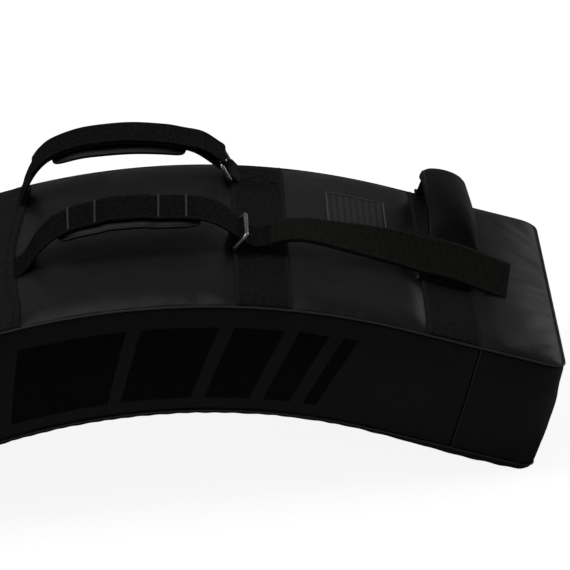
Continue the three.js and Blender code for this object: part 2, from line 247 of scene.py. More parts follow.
def start_group(name, inputs, outputs):
    group = bpy.data.node_groups.new(name, "ShaderNodeTree")
    for label, kind, value in inputs:
        socket = group.interface.new_socket(label, in_out="INPUT", socket_type=kind)
        if value is not None:
            socket.default_value = value
    for label in outputs:
        group.interface.new_socket(label, in_out="OUTPUT", socket_type="NodeSocketFloat")
    wires = Wires(group)
    return group, wires, wires.node("NodeGroupInput"), wires.node("NodeGroupOutput")


FLOAT = "NodeSocketFloat"
VECTOR = "NodeSocketVector"

# %% Grain: the pebbled skin of coated cloth


def make_grain_group():
    group, w, given, out = start_group(
        "leather_grain",
        [("Place", VECTOR, None), ("Pebbles per metre", FLOAT, 700.0), ("Softness", FLOAT, 0.5)],
        ["Height", "Tone"],
    )
    place, fine, soft = given.outputs[0:3]
    pebbles = w.node("ShaderNodeTexVoronoi", feature="SMOOTH_F1")
    w.put(place, pebbles.inputs["Vector"])
    w.put(fine, pebbles.inputs["Scale"])
    w.put(soft, pebbles.inputs["Smoothness"])
    dome = w.span(pebbles.outputs["Distance"], 0.0, 0.8, 1.0, 0.0)
    creases = w.noise(place, w.math("MULTIPLY", fine, 0.35), 4.0, 0.6)
    swells = w.noise(place, 26.0, 2.0, 0.5)
    height = w.math("ADD", w.math("MULTIPLY", dome, 0.55), w.math("MULTIPLY", creases, 0.45))
    w.put(w.math("ADD", height, w.math("MULTIPLY", swells, 0.8)), out.inputs["Height"])
    w.put(w.math("ADD", w.math("MULTIPLY", dome, 0.4), w.math("MULTIPLY", swells, 0.6)), out.inputs["Tone"])
    return group


GRAIN = make_grain_group()

# %% Weave: cross ribs and slanted twill lines, laid along the strip


def make_weave_group():
    group, w, given, out = start_group(
        "webbing_weave",
        [
            ("Cloth", VECTOR, None),
            ("Rib pitch", FLOAT, 0.0016),
            ("Twill pitch", FLOAT, 0.0032),
            ("Twill share", FLOAT, 0.5),
            ("Fuzz", FLOAT, 0.3),
            ("Half width", FLOAT, 0.024),
            ("Middle", FLOAT, 0.0),
        ],
        ["Height", "Tone"],
    )
    cloth, rib, twill, share, fuzz, half, middle = given.outputs[0:7]
    split = w.node("ShaderNodeSeparateXYZ")
    w.put(cloth, split.inputs[0])
    wander = w.math("MULTIPLY", w.noise(cloth, 160.0, 2.0), 0.0011)
    u = w.math("ADD", split.outputs[0], wander)
    v = split.outputs[1]
    turn = 2 * math.pi
    ribs = w.math("SINE", w.math("MULTIPLY", w.math("DIVIDE", u, rib), turn))
    warp = w.math("SINE", w.math("MULTIPLY", w.math("DIVIDE", v, w.math("MULTIPLY", rib, 0.9)), turn))
    slant = w.math("DIVIDE", w.math("ADD", u, w.math("MULTIPLY", v, 1.15)), twill)
    lines = w.math("SINE", w.math("MULTIPLY", slant, turn))
    plain = w.math("MULTIPLY", w.math("ADD", ribs, w.math("MULTIPLY", warp, 0.45)), 0.5)
    mixed = w.node("ShaderNodeMix", data_type="FLOAT")
    w.put(share, mixed.inputs[0])
    w.put(plain, mixed.inputs[2])
    w.put(lines, mixed.inputs[3])
    woven = w.math("MULTIPLY_ADD", mixed.outputs[0], 0.5, 0.5)
    hairs = w.span(w.noise(cloth, 420.0, 5.0, 0.8), 0.36, 0.64, 0.0, 1.0)
    fuzzy = w.node("ShaderNodeMix", data_type="FLOAT")
    w.put(fuzz, fuzzy.inputs[0])
    w.put(woven, fuzzy.inputs[2])
    w.put(hairs, fuzzy.inputs[3])
    w.put(fuzzy.outputs[0], out.inputs["Height"])
    patches = w.span(w.noise(cloth, 230.0, 4.0, 0.65), 0.3, 0.7, 0.0, 1.0)
    from_middle = w.math("ABSOLUTE", w.math("SUBTRACT", v, middle))
    edge_from, edge_to = w.math("SUBTRACT", half, 0.0042), w.math("SUBTRACT", half, 0.003)
    selvedge = w.span(from_middle, edge_from, edge_to, 0.0, 1.0)
    tone = w.math("ADD", w.math("MULTIPLY", fuzzy.outputs[0], 0.55), w.math("MULTIPLY", patches, 0.35))
    w.put(w.math("ADD", tone, w.math("MULTIPLY", selvedge, 0.22)), out.inputs["Tone"])
    return group


WEAVE = make_weave_group()

# %% Handling: slow patches where the surface is a little duller or shinier


def make_handling_group():
    group, w, given, out = start_group(
        "handling_marks",
        [("Place", VECTOR, None), ("Patches per metre", FLOAT, 9.0), ("Scuffs per metre", FLOAT, 70.0)],
        ["Dull", "Scuff"],
    )
    place, wide, narrow = given.outputs[0:3]
    w.put(w.span(w.noise(place, wide, 3.0, 0.55), 0.3, 0.7, 0.0, 1.0), out.inputs["Dull"])
    fine = w.noise(place, narrow, 6.0, 0.7)
    w.put(w.span(fine, 0.58, 0.78, 0.0, 1.0), out.inputs["Scuff"])
    return group


HANDLING = make_handling_group()
print("node groups:", [g.name for g in (GRAIN, WEAVE, HANDLING)])

# %% [markdown]
# ## Materials
# Coated cloth gets its look from a fine grain, a soft gloss and slow patches. Webbing is woven nylon:
# dull, with ribs that run across the strip. The strap's loop side is fuzzy, and the tape on its tail ribbed.
# Each material is one short call with its own values.

# %% Coated cloth


def start_material(name):
    material = bpy.data.materials.new(name)
    material.use_nodes = True
    wires = Wires(material.node_tree)
    shader = material.node_tree.nodes["Principled BSDF"]
    MATERIALS[name] = material
    return material, wires, shader


def use_group(wires, group, place, **values):
    made = wires.node("ShaderNodeGroup", node_tree=group)
    wires.put(place, made.inputs[0])
    for label, value in values.items():
        made.inputs[label.replace("_", " ")].default_value = value
    return made


def two_tones(wires, share, dark, light):
    mix = wires.node("ShaderNodeMix", data_type="RGBA")
    wires.put(share, mix.inputs[0])
    mix.inputs[6].default_value = (*dark, 1)
    mix.inputs[7].default_value = (*light, 1)
    return mix.outputs[2]


def bump(wires, height, shader, strength, distance):
    made = wires.node("ShaderNodeBump")
    made.inputs["Strength"].default_value = strength
    made.inputs["Distance"].default_value = distance
    wires.put(height, made.inputs["Height"])
    wires.put(made.outputs[0], shader.inputs["Normal"])


def coated_cloth(name, dark, light, gloss, pebbles=620.0, strength=0.25, shine=0.5):
    """Vinyl-coated cloth. gloss is the pair of roughness values that the patches move between."""
    material, w, shader = start_material(name)
    place = w.node("ShaderNodeTexCoord").outputs["Object"]
    grain = use_group(w, GRAIN, place, Pebbles_per_metre=pebbles)
    marks = use_group(w, HANDLING, place)
    w.put(two_tones(w, grain.outputs["Tone"], dark, light), shader.inputs["Base Color"])
    patchy = w.span(marks.outputs["Dull"], 0.0, 1.0, *gloss)
    scuffed = w.math("ADD", patchy, w.math("MULTIPLY", marks.outputs["Scuff"], 0.08))
    w.put(scuffed, shader.inputs["Roughness"])
    shader.inputs["Specular IOR Level"].default_value = shine
    bump(w, grain.outputs["Height"], shader, strength, 0.0006)
    return material


BACK_VINYL = coated_cloth("back_vinyl", (0.0125,) * 3, (0.021, 0.021, 0.020), (0.40, 0.52))
# The walls and end panels take a copy of the back's vinyl about a third as bright: painted shade for the
# sides that face away from the lights above.
WALL_VINYL_PAINTED_SHADE = coated_cloth("wall_vinyl_painted_shade", (0.0042,) * 3, (0.0078,) * 3, (0.46, 0.58))
STRIKE_VINYL = coated_cloth("strike_vinyl", (0.0055,) * 3, (0.0105,) * 3, (0.42, 0.54), 520.0)
# The welt vinyl is the same coated cloth painted several times lighter than the panels: a painted highlight
# for the light that a raised seam catches.
WELT_VINYL_PAINTED_HIGHLIGHT = coated_cloth("welt_vinyl_painted_highlight", (0.075,) * 3, (0.12,) * 3, (0.34, 0.42), 900.0, 0.12)
SLEEVE_VINYL = coated_cloth("sleeve_vinyl", (0.0020,) * 3, (0.0046,) * 3, (0.56, 0.68), 760.0, 0.35, 0.28)
GRIP_VINYL = coated_cloth("grip_vinyl", (0.006,) * 3, (0.013,) * 3, (0.40, 0.52), 760.0)

# %% Webbing, fuzzy strap and ribbed tail


def woven(name, dark, light, rib, twill, share, fuzz, strength, depth, sheen, middle=0.0):
    """Nylon webbing. rib and twill are in metres, middle is where the strip's centre lies in its layer."""
    material, w, shader = start_material(name)
    cloth = w.node("ShaderNodeUVMap", uv_map="cloth").outputs[0]
    weave = use_group(
        w, WEAVE, cloth, Rib_pitch=rib, Twill_pitch=twill, Twill_share=share, Fuzz=fuzz, Middle=middle)
    tone = w.span(weave.outputs["Tone"], 0.25, 0.85, 0.0, 1.0)
    w.put(two_tones(w, tone, dark, light), shader.inputs["Base Color"])
    w.put(w.span(weave.outputs["Height"], 0.0, 1.0, 0.88, 0.66), shader.inputs["Roughness"])
    shader.inputs["Specular IOR Level"].default_value = 0.10
    shader.inputs["Sheen Weight"].default_value = sheen
    shader.inputs["Sheen Roughness"].default_value = 0.45
    shader.inputs["Sheen Tint"].default_value = (0.30, 0.30, 0.29, 1)
    bump(w, weave.outputs["Height"], shader, strength, depth)
    return material


BAND_WEBBING = woven(
    "band_webbing", (0.0110,) * 3, (0.0540,) * 3, 0.0021, 0.0040, 0.30, 0.35, 0.6, 0.0008, 0.02, 0.024)
FUZZY_WEBBING = woven(
    "fuzzy_webbing", (0.0070,) * 3, (0.0660,) * 3, 0.0019, 0.0030, 0.3, 0.85, 1.0, 0.0016, 0.03)
RIBBED_WEBBING = woven(
    "ribbed_webbing", (0.0145, 0.0145, 0.0124), (0.0520, 0.0510, 0.0440),
    0.0027, 0.0042, 0.10, 0.20, 0.9, 0.0011, 0.02)

# %% Steel, thread, print, label and foam


def make_steel():
    material, w, shader = start_material("ring_steel")
    place = w.node("ShaderNodeTexCoord").outputs["Object"]
    marks = use_group(w, HANDLING, place, Patches_per_metre=120.0, Scuffs_per_metre=900.0)
    steel = two_tones(w, marks.outputs["Scuff"], (0.80, 0.80, 0.79), (0.52, 0.52, 0.51))
    w.put(steel, shader.inputs["Base Color"])
    shader.inputs["Metallic"].default_value = 1.0
    w.put(w.span(marks.outputs["Dull"], 0.0, 1.0, 0.16, 0.30), shader.inputs["Roughness"])
    bump(w, marks.outputs["Scuff"], shader, 0.12, 0.0002)
    return material


def make_thread(name, dark, light):
    material, w, shader = start_material(name)
    place = w.node("ShaderNodeTexCoord").outputs["Object"]
    strands = w.noise(place, 2600.0, 3.0, 0.6)
    w.put(two_tones(w, strands, dark, light), shader.inputs["Base Color"])
    shader.inputs["Roughness"].default_value = 0.55
    bump(w, strands, shader, 0.5, 0.0003)
    return material


def make_print():
    material, w, shader = start_material("gloss_print")
    place = w.node("ShaderNodeTexCoord").outputs["Object"]
    grain = use_group(w, GRAIN, place, Pebbles_per_metre=620.0)
    marks = use_group(w, HANDLING, place, Patches_per_metre=14.0)
    w.put(two_tones(w, grain.outputs["Tone"], (0.0004,) * 3, (0.0011,) * 3), shader.inputs["Base Color"])
    w.put(w.span(marks.outputs["Dull"], 0.0, 1.0, 0.30, 0.42), shader.inputs["Roughness"])
    shader.inputs["Specular IOR Level"].default_value = 0.16
    bump(w, grain.outputs["Height"], shader, 0.08, 0.0004)
    return material


def make_label_material():
    """A woven patch with a field of small dots. The pattern is plain and carries no mark."""
    material, w, shader = start_material("label_cloth")
    cloth = w.node("ShaderNodeUVMap", uv_map="cloth").outputs[0]
    dots = w.node("ShaderNodeTexVoronoi", feature="F1")
    dots.inputs["Scale"].default_value = 170.0
    dots.inputs["Randomness"].default_value = 0.0
    w.put(cloth, dots.inputs["Vector"])
    raised = w.span(dots.outputs["Distance"], 0.26, 0.44, 1.0, 0.0)
    weave = use_group(w, WEAVE, cloth, Rib_pitch=0.0009, Twill_pitch=0.0016, Twill_share=0.2, Fuzz=0.35)
    shade = w.math("ADD", w.math("MULTIPLY", raised, 0.7), w.math("MULTIPLY", weave.outputs["Tone"], 0.4))
    w.put(two_tones(w, shade, (0.006,) * 3, (0.10,) * 3), shader.inputs["Base Color"])
    shader.inputs["Roughness"].default_value = 0.6
    bump(w, w.math("ADD", raised, weave.outputs["Height"]), shader, 0.5, 0.0004)
    return material


def make_foam():
    material, w, shader = start_material("open_foam")
    place = w.node("ShaderNodeTexCoord").outputs["Object"]
    cells = w.node("ShaderNodeTexVoronoi", feature="F1")
    cells.inputs["Scale"].default_value = 550.0
    w.put(place, cells.inputs["Vector"])
    cream = two_tones(w, cells.outputs["Distance"], (0.32, 0.31, 0.27), (0.62, 0.60, 0.52))
    w.put(cream, shader.inputs["Base Color"])
    shader.inputs["Roughness"].default_value = 0.95
    bump(w, cells.outputs["Distance"], shader, 0.6, 0.001)
    return material


STEEL = make_steel()
DARK_THREAD = make_thread("dark_thread", (0.006,) * 3, (0.022,) * 3)
PALE_THREAD = make_thread("pale_thread", (0.15,) * 3, (0.30,) * 3)
GREY_THREAD = make_thread("grey_thread", (0.022,) * 3, (0.056,) * 3)
PRINT = make_print()
LABEL_CLOTH = make_label_material()
FOAM = make_foam()
print("materials:", sorted(MATERIALS))

# %% [markdown]
# ## The padded cover
# The cover is cut as a back, a strike face with a low lip, two long walls and two end panels, sewn inside
# out and filled with foam. It could be modelled as a bent box, but the foam pushes every panel out between
# its seams. So one even grid is bent to shape, its seam lines are pinned, and a cloth simulation with a
# little air pressure swells the panels. The panels are cut apart afterwards along the seams.

# %% The grid of the cover
CELL = 8 * MM
CORNER = 14 * MM
SEAM_DROP = 2.4 * MM
CROWN = 4.6 * MM
PANELS = ("back_panel", "strike_panel", "front_side_panel",
          "rear_side_panel", "left_end_panel", "right_end_panel")


def even_stops(stops, cell):
    """Places between the stops, no further apart than about one cell."""
    places = [stops[0]]
    for a, b in zip(stops[:-1], stops[1:]):
        count = max(1, round(abs(b - a) / cell))
        places += [a + (b - a) * (i + 1) / count for i in range(count)]
    return places


def box_grid(along, across, depth):
    """The faces of a box as grids. Returns each corner's place in the grid, the faces and their panels."""
    number, faces, panels = {}, [], []
    last_i, last_j, last_k = len(along) - 1, len(across) - 1, len(depth) - 1

    def quad(corners, panel, flip):
        numbers = [number.setdefault(c, len(number)) for c in corners]
        faces.append(numbers[::-1] if flip else numbers)
        panels.append(panel)

    for i in range(last_i):
        for j in range(last_j):
            for k, panel in ((0, 0), (last_k, 1)):
                quad([(i, j, k), (i + 1, j, k), (i + 1, j + 1, k), (i, j + 1, k)], panel, k > 0)
        middle = (along[i] + along[i + 1]) / 2
        for k in range(last_k):
            for j, side in ((0, 2), (last_j, 3)):
                panel = side if abs(middle) < END_SEAM else (4 if middle < 0 else 5)
                panel = 1 if k == last_k - 1 else panel
                quad([(i, j, k + 1), (i + 1, j, k + 1), (i + 1, j, k), (i, j, k)], panel, j > 0)
    for j in range(last_j):
        for k in range(last_k):
            for i, panel in ((0, 4), (last_i, 5)):
                panel = 1 if k == last_k - 1 else panel
                quad([(i, j, k + 1), (i, j + 1, k + 1), (i, j + 1, k), (i, j, k)], panel, i == 0)
    return list(number), faces, panels


def near_band(along):
    """1 under a webbing band, 0 away from it."""
    best = 0
    for start in (INNER_BAND, OUTER_BAND):
        inside = min(abs(along) - start, start + BAND_WIDTH - abs(along))
        best = max(best, float(ease(-12 * MM, 4 * MM, inside)))
    return best


def round_plan(s, y, half_long, half_wide, corner):
    """Rounds the corners of the plan, and gives the way out of it there."""
    a, b = abs(s) - (half_long - corner), abs(y) - (half_wide - corner)
    out = Vector((math.copysign(1, s) if a > b else 0, math.copysign(1, y) if b >= a else 0, 0))
    if a > 0 and b > 0:
        u, v = a / corner, b / corner
        reach = (u * math.sqrt(1 - v * v / 2), v * math.sqrt(1 - u * u / 2))
        s = math.copysign(half_long - corner + corner * reach[0], s)
        y = math.copysign(half_wide - corner + corner * reach[1], y)
        out = Vector((math.copysign(reach[0], s), math.copysign(reach[1], y), 0)).normalized()
    return s, y, out


def cover_point(s, y, h):
    """A point of the cover before it swells: crowned on the back, gently full on the walls."""
    inward = min(HALF_WIDTH - abs(y), HALF_LENGTH - abs(s))
    on_wall = inward < 1e-6
    s, y, out = round_plan(s, y, HALF_LENGTH, HALF_WIDTH, CORNER)
    full = 0.0
    if h == 0:
        h = -SEAM_DROP + CROWN * (1 - math.exp(-inward / (13 * MM))) * (1 - 0.45 * near_band(s))
    elif on_wall:
        share = min(1, -h / (THICKNESS - STRIKE_LIP))
        full = 2.2 * MM * math.sin(math.pi * share)
    if h <= -THICKNESS and not on_wall:
        h -= 1.2 * MM * (1 - math.exp(-inward / (20 * MM)))
    x, z = bend(s + out.x * full, h)
    return Vector((float(x), y + out.y * full, max(0.0, float(z))))


def make_cover_cage():
    along = even_stops([-HALF_LENGTH, -END_SEAM, END_SEAM, HALF_LENGTH], CELL)
    across = even_stops([-HALF_WIDTH, HALF_WIDTH], CELL)
    depth = even_stops([0, STRIKE_LIP - THICKNESS, -THICKNESS], CELL)
    corners, faces, panels = box_grid(along, across, depth)
    points = [cover_point(along[i], across[j], depth[k]) for i, j, k in corners]
    mesh = bpy.data.meshes.new("cover_cage")
    mesh.from_pydata([tuple(p) for p in points], [], faces)
    mesh.polygons.foreach_set("material_index", panels)
    for _ in PANELS:
        mesh.materials.append(None)
    cage = bpy.data.objects.new("cover_cage", mesh)
    bpy.context.scene.collection.objects.link(cage)
    flat = [(along[i], across[j], depth[k]) for i, j, k in corners]
    return cage, flat


def seam_edges(mesh):
    """Edges where two panels meet."""
    panel_of = {}
    for face in mesh.polygons:
        for key in face.edge_keys:
            panel_of.setdefault(key, set()).add(face.material_index)
    return {key: panels for key, panels in panel_of.items() if len(panels) > 1}


cage, cage_flat = make_cover_cage()
SEAMS = seam_edges(cage.data)
print("cover cage:", len(cage.data.vertices), "points,", len(SEAMS), "seam edges")

# %% Swell the panels between their seams
SWELL_LIMIT = 3.2 * MM


def swell(cage, flat, seams):
    """Cloth with air pressure inside. The seams stay where they are, and no point moves past the limit."""
    pins = cage.vertex_groups.new(name="seams")
    pins.add(sorted({v for key in seams for v in key}), 1.0, "REPLACE")
    cloth = cage.modifiers.new("cloth", "CLOTH")
    settings = cloth.settings
    settings.quality = 5
    settings.mass = 0.25
    settings.tension_stiffness = 22
    settings.compression_stiffness = 22
    settings.shear_stiffness = 8
    settings.bending_stiffness = 1.2
    settings.use_pressure = True
    settings.uniform_pressure_force = 4
    settings.shrink_min = -0.012
    settings.vertex_group_mass = "seams"
    settings.effector_weights.gravity = 0
    cloth.collision_settings.use_self_collision = False
    for number in range(1, 21):
        bpy.context.scene.frame_set(number)
    seen = cage.evaluated_get(bpy.context.evaluated_depsgraph_get()).to_mesh()
    moved = [after.co - before.co for after, before in zip(seen.vertices, cage.data.vertices)]
    cage.modifiers.remove(cloth)
    bpy.context.scene.frame_set(1)
    for vertex, way, (s, y, h) in zip(cage.data.vertices, moved, flat):
        far = way.length
        if far > 1e-9:
            held = 1 - 0.75 * near_band(s) * (h == 0)
            vertex.co += way / far * SWELL_LIMIT * math.tanh(far / SWELL_LIMIT) * held
        vertex.co.z = max(0.0, vertex.co.z)
    print("cloth moved points up to", round(max(w.length for w in moved) / MM, 2), "mm before the limit")


swell(cage, cage_flat, SEAMS)

# %% Round the grid off and pucker the cloth along its seams


def smooth_cover(cage, seams):
    """One subdivision. Seam edges are creased so that they stay crisp."""
    mesh = cage.data
    crease = mesh.attributes.new("crease_edge", "FLOAT", "EDGE")
    for edge in mesh.edges:
        crease.data[edge.index].value = 0.9 if tuple(sorted(edge.vertices)) in seams else 0.0
    cage.modifiers.new("round", "SUBSURF").levels = 1
    seen = cage.evaluated_get(bpy.context.evaluated_depsgraph_get())
    fine = bpy.data.meshes.new_from_object(seen)
    cage.modifiers.clear()
    cage.data = fine
    bpy.data.meshes.remove(mesh)
    return fine


def pucker(mesh, seams):
    """Small gathers that die away within two centimetres of a seam, and a faint waviness everywhere."""
    on_seam = sorted({v for key in seams for v in key})
    tree = KDTree(len(on_seam))
    for number in on_seam:
        tree.insert(mesh.vertices[number].co, number)
    tree.balance()
    normals = [v.normal.copy() for v in mesh.vertices]
    for vertex, normal in zip(mesh.vertices, normals):
        place, _, far = tree.find(vertex.co)
        if far < 1e-6:
            continue
        run = place.x + place.y * 0.9 + place.z * 0.7
        gathers = math.sin(run * 2 * math.pi / (15 * MM) + 3 * noise.noise(place * 30))
        near = far / (6 * MM) * math.exp(1 - far / (6 * MM))
        wave = noise.noise(vertex.co * 22) * 0.45 + noise.noise(vertex.co * 55) * 0.2
        vertex.co += normal * (0.22 * MM * gathers * near + MM * wave * min(1, far / (25 * MM)))
        vertex.co.z = max(0.0, vertex.co.z)


cover_mesh = smooth_cover(cage, SEAMS)
FINE_SEAMS = seam_edges(cover_mesh)
pucker(cover_mesh, FINE_SEAMS)
COVER = BVHTree.FromPolygons(
    [v.co.copy() for v in cover_mesh.vertices], [tuple(p.vertices) for p in cover_mesh.polygons])
print("cover:", len(cover_mesh.polygons), "faces")


def on_back(along, y, lift):
    """A point above the finished back of the cover, and the way out of it there."""
    way = outward(along)
    hit = COVER.ray_cast(spot(along, y, 30 * MM), -way)[0]
    return (spot(along, y, 0) if hit is None else hit) + way * lift, way


def on_front_wall(along, height, lift):
    """A point in front of the finished front wall."""
    start = spot(along, -HALF_WIDTH - 60 * MM, height)
    hit = COVER.ray_cast(start, Vector((0, 1, 0)))[0]
    return (spot(along, -HALF_WIDTH, height) if hit is None else hit) + Vector((0, -lift, 0))


# %% Cut the cover into its six panels
PANEL_VINYL = (BACK_VINYL, STRIKE_VINYL, WALL_VINYL_PAINTED_SHADE, WALL_VINYL_PAINTED_SHADE, WALL_VINYL_PAINTED_SHADE, WALL_VINYL_PAINTED_SHADE)


def cut_panel(mesh, number):
    """One panel as its own object, turned in along its seam so that no raw edge shows."""
    name = PANELS[number].replace("panel", "cover")
    cut = bmesh.new()
    cut.from_mesh(mesh)
    others = [f for f in cut.faces if f.material_index != number]
    bmesh.ops.delete(cut, geom=others, context="FACES")
    rim = [e for e in cut.edges if e.is_boundary]
    turned = bmesh.ops.extrude_edge_only(cut, edges=rim)["geom"]
    middle = Vector((0, 0, CREST - THICKNESS / 2))
    for vertex in (g for g in turned if isinstance(g, bmesh.types.BMVert)):
        s_way = outward(vertex.co.x)
        core = vertex.co - s_way * (vertex.co - middle).dot(s_way)
        inward = core - vertex.co
        inward += Vector((-math.copysign(40 * MM, vertex.co.x), -math.copysign(40 * MM, vertex.co.y), 0))
        vertex.co += inward.normalized() * 3 * MM
        vertex.co.z = max(0.0, vertex.co.z)
    made = bpy.data.meshes.new(name)
    cut.to_mesh(made)
    cut.free()
    made.materials.clear()
    made.materials.append(PANEL_VINYL[number])
    made.polygons.foreach_set("material_index", [0] * len(made.polygons))
    made.polygons.foreach_set("use_smooth", [True] * len(made.polygons))
    panel = bpy.data.objects.new(name, made)
    bpy.context.scene.collection.objects.link(panel)
    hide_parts(PANELS[number])
    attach(panel, "shield")
    return panel


COVER_PANELS = [cut_panel(cover_mesh, number) for number in range(len(PANELS))]
bpy.data.objects.remove(cage)
print("panels:", [p.name for p in COVER_PANELS])

# %% [markdown]
# ## Tubes, stitches and ribbons
# Wire, welt cord and thread are all round, so one helper sweeps a circle along a line. A strap is a
# flat strip with soft edges, so another helper sweeps that section. It also writes the strip's own
# length and width into its UV layer, so the weave follows the strap wherever it goes.

# %% Helpers: tube, stitches, ribbon


def frames_along(line, closed):
    """Tangents and steady side vectors along a line of points."""
    ahead = np.roll(line, -1, axis=0) - np.roll(line, 1, axis=0)
    if not closed:
        ahead[0], ahead[-1] = line[1] - line[0], line[-1] - line[-2]
    ahead /= np.maximum(np.linalg.norm(ahead, axis=1), 1e-12)[:, None]
    side = np.cross(ahead[0], (0.3, 0.2, 0.93))
    sides = []
    for way in ahead:
        side = side - way * np.dot(side, way)
        side = side / np.linalg.norm(side)
        sides.append(side)
    return ahead, np.array(sides)


def tube_parts(line, radius, around=8, closed=False, first=0):
    line = np.array(line, float)
    ahead, sides = frames_along(line, closed)
    ups = np.cross(ahead, sides)
    angles = np.linspace(0, 2 * math.pi, around, endpoint=False)
    radius = np.broadcast_to(radius, len(line))
    points = [
        c + r * (math.cos(a) * s + math.sin(a) * u)
        for c, s, u, r in zip(line, sides, ups, radius) for a in angles
    ]
    faces = []
    rings = len(line)
    for i in range(rings if closed else rings - 1):
        for j in range(around):
            a, b = first + i * around, first + ((i + 1) % rings) * around
            k = (j + 1) % around
            faces.append((a + j, a + k, b + k, b + j))
    if not closed:
        faces.append(tuple(range(first + around - 1, first - 1, -1)))
        end = first + (rings - 1) * around
        faces.append(tuple(range(end, end + around)))
    return points, faces


def tube(name, line, radius, material, around=8, closed=False):
    points, faces = tube_parts(line, radius, around, closed)
    return settle_normals(new_object(name, points, faces, material))


def settle_normals(obj):
    cut = bmesh.new()
    cut.from_mesh(obj.data)
    bmesh.ops.recalc_face_normals(cut, faces=cut.faces)
    cut.to_mesh(obj.data)
    cut.free()
    return obj


def stitches(name, lines, material, pitch=4.2 * MM, radius=0.32 * MM, lift=None):
    """Separate stitches along lines of points that lie on the cloth. lift says which way is out."""
    points, faces = [], []
    for line in lines:
        line = np.array(line, float)
        long = np.linalg.norm(np.diff(line, axis=0), axis=1).sum()
        count = max(2, int(long / pitch))
        marks = even_steps(line, count * 6)
        for i in range(count):
            a, b, c = marks[6 * i + 1], marks[6 * i + 3], marks[6 * i + 5]
            out = np.array(lift(b) if callable(lift) else lift, float)
            dip, rise = out * radius, out * radius * 0.7
            run = [a - dip, (a + b) / 2 + rise, b + dip, (b + c) / 2 + rise, c - dip]
            more, sides = tube_parts(run, [radius * k for k in (0.7, 1, 1.1, 1, 0.7)], 6, False, len(points))
            points += more
            faces += sides
    return settle_normals(new_object(name, points, faces, material))


SECTION = (
    (-0.985, 0.75), (-0.93, 1), (-0.6, 1), (-0.2, 1), (0.2, 1), (0.6, 1), (0.93, 1), (0.985, 0.75), (1, 0))
SECTION = SECTION + tuple((a, -b) for a, b in SECTION[-2::-1]) + ((-1, 0),)


def ribbon(name, line, across, width, thick, material, tilt=0.0, ripple=0.25 * MM):
    """A strap along a line of points. across is its width direction. tilt leans it about its run."""
    line = np.array(line, float)
    across = np.array(across, float)
    fresh = np.r_[True, np.linalg.norm(np.diff(line, axis=0), axis=1) > 1e-6]
    tilts = np.broadcast_to(tilt, len(line))[fresh]
    line = line[fresh]
    ahead, _ = frames_along(line, False)
    gone = np.r_[0, np.cumsum(np.linalg.norm(np.diff(line, axis=0), axis=1))]
    points, uvs = [], []
    for c, way, lean, run in zip(line, ahead, tilts, gone):
        up = np.cross(way, across)
        up /= np.linalg.norm(up)
        side = across * math.cos(lean) + up * math.sin(lean)
        over = up * math.cos(lean) - across * math.sin(lean)
        for a, b in SECTION:
            edge = noise.noise(Vector((run * 60, math.copysign(7, a), 3))) * ripple * abs(a)
            wave = noise.noise(Vector((c[0] * 35 + 9, a * 0.7 + 5, c[1] * 20))) * ripple
            points.append(c + side * (a * width / 2 + edge * 0.6) + over * (b * thick / 2 + wave))
            uvs.append((run, a * width / 2))
    n = len(SECTION)
    faces = []
    for i in range(len(line) - 1):
        for j in range(n):
            k = (j + 1) % n
            faces.append((i * n + j, i * n + k, (i + 1) * n + k, (i + 1) * n + j))
    faces.append(tuple(range(n)))
    faces.append(tuple(range((len(line) - 1) * n, len(line) * n)))
    return settle_normals(new_object(name, points, faces, material, uvs))


print("section points of a strap:", len(SECTION))

# %% [markdown]
# ## Welts and seam lines
# Where the back meets the walls, the two raw edges are turned in and a thin welt stands up along the
# seam. Its vinyl is painted much lighter than the panels, a painted highlight that makes it read as a
# fine lit line. The lip seam near the strike face and the upright seams at the ends get the same cord,
# a little thinner, with the same painted highlight.

# %% Follow each seam and lay a welt on it


def chains(keys, mesh):
    """Joins seam edges end to end into lines of points."""
    links = {}
    for a, b in keys:
        links.setdefault(a, []).append(b)
        links.setdefault(b, []).append(a)
    lines = []
    while links:
        ends = [v for v, near in links.items() if len(near) == 1]
        here = min(ends) if ends else min(links)
        closed = not ends
        line = [here]
        while True:
            near = links.get(here, [])
            if not near:
                links.pop(here, None)
                break
            there = near.pop()
            links[there].remove(here)
            if not near:
                links.pop(here)
            here = there
            if closed and here == line[0]:
                links.pop(here, None)
                break
            line.append(here)
        lines.append((np.array([mesh.vertices[v].co for v in line]), closed))
    return lines


def without_spurs(line):
    """Drops points where the line turns back on itself."""
    for _ in range(4):
        runs = np.diff(line, axis=0)
        runs /= np.linalg.norm(runs, axis=1)[:, None]
        straight = (runs[:-1] * runs[1:]).sum(axis=1) > 0.35
        line = line[np.concatenate([[True], straight, [True]])]
    return line


def lay_welts(name, wanted, radius, push):
    """A cord along every seam between the wanted panels. push is how far it may also stand up."""
    keys = [key for key, panels in FINE_SEAMS.items() if wanted(panels)]
    made = []
    for number, (line, closed) in enumerate(chains(keys, cover_mesh)):
        line = without_spurs(line)
        if len(line) < 6:
            continue
        away = line - SHIELD_MIDDLE
        away[:, 2] *= push
        away /= np.linalg.norm(away, axis=1)[:, None]
        welt = tube(f"{name}_{number + 1}", line + away * radius * 0.6, radius, WELT_VINYL_PAINTED_HIGHLIGHT, 8, closed)
        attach(welt, "shield")
        made.append(welt)
    return made


SHIELD_MIDDLE = np.array([0, 0, 60 * MM])
TOP_WELTS = lay_welts("top_seam_welt", lambda p: 0 in p, 0.95 * MM, 1.0)
LIP_WELTS = lay_welts("lip_seam_welt", lambda p: 1 in p, 0.7 * MM, 0.0)
END_WELTS = lay_welts("end_seam_welt", lambda p: 0 not in p and 1 not in p, 0.45 * MM, 0.0)
print("welts:", len(TOP_WELTS), len(LIP_WELTS), len(END_WELTS))

# %% [markdown]
# ## Webbing bands
# Four nylon bands run across the back and disappear into the long seams. They anchor every strap.
# A band is laid by dropping a grid onto the swollen cover, so it follows the crown and dips at the seam.
# Where a strap tab is sewn under it, the band rides up a little.

# %% Lay a band on the cover
BAND_LIFT = 1.5 * MM
BAND_HEM = 1 * MM


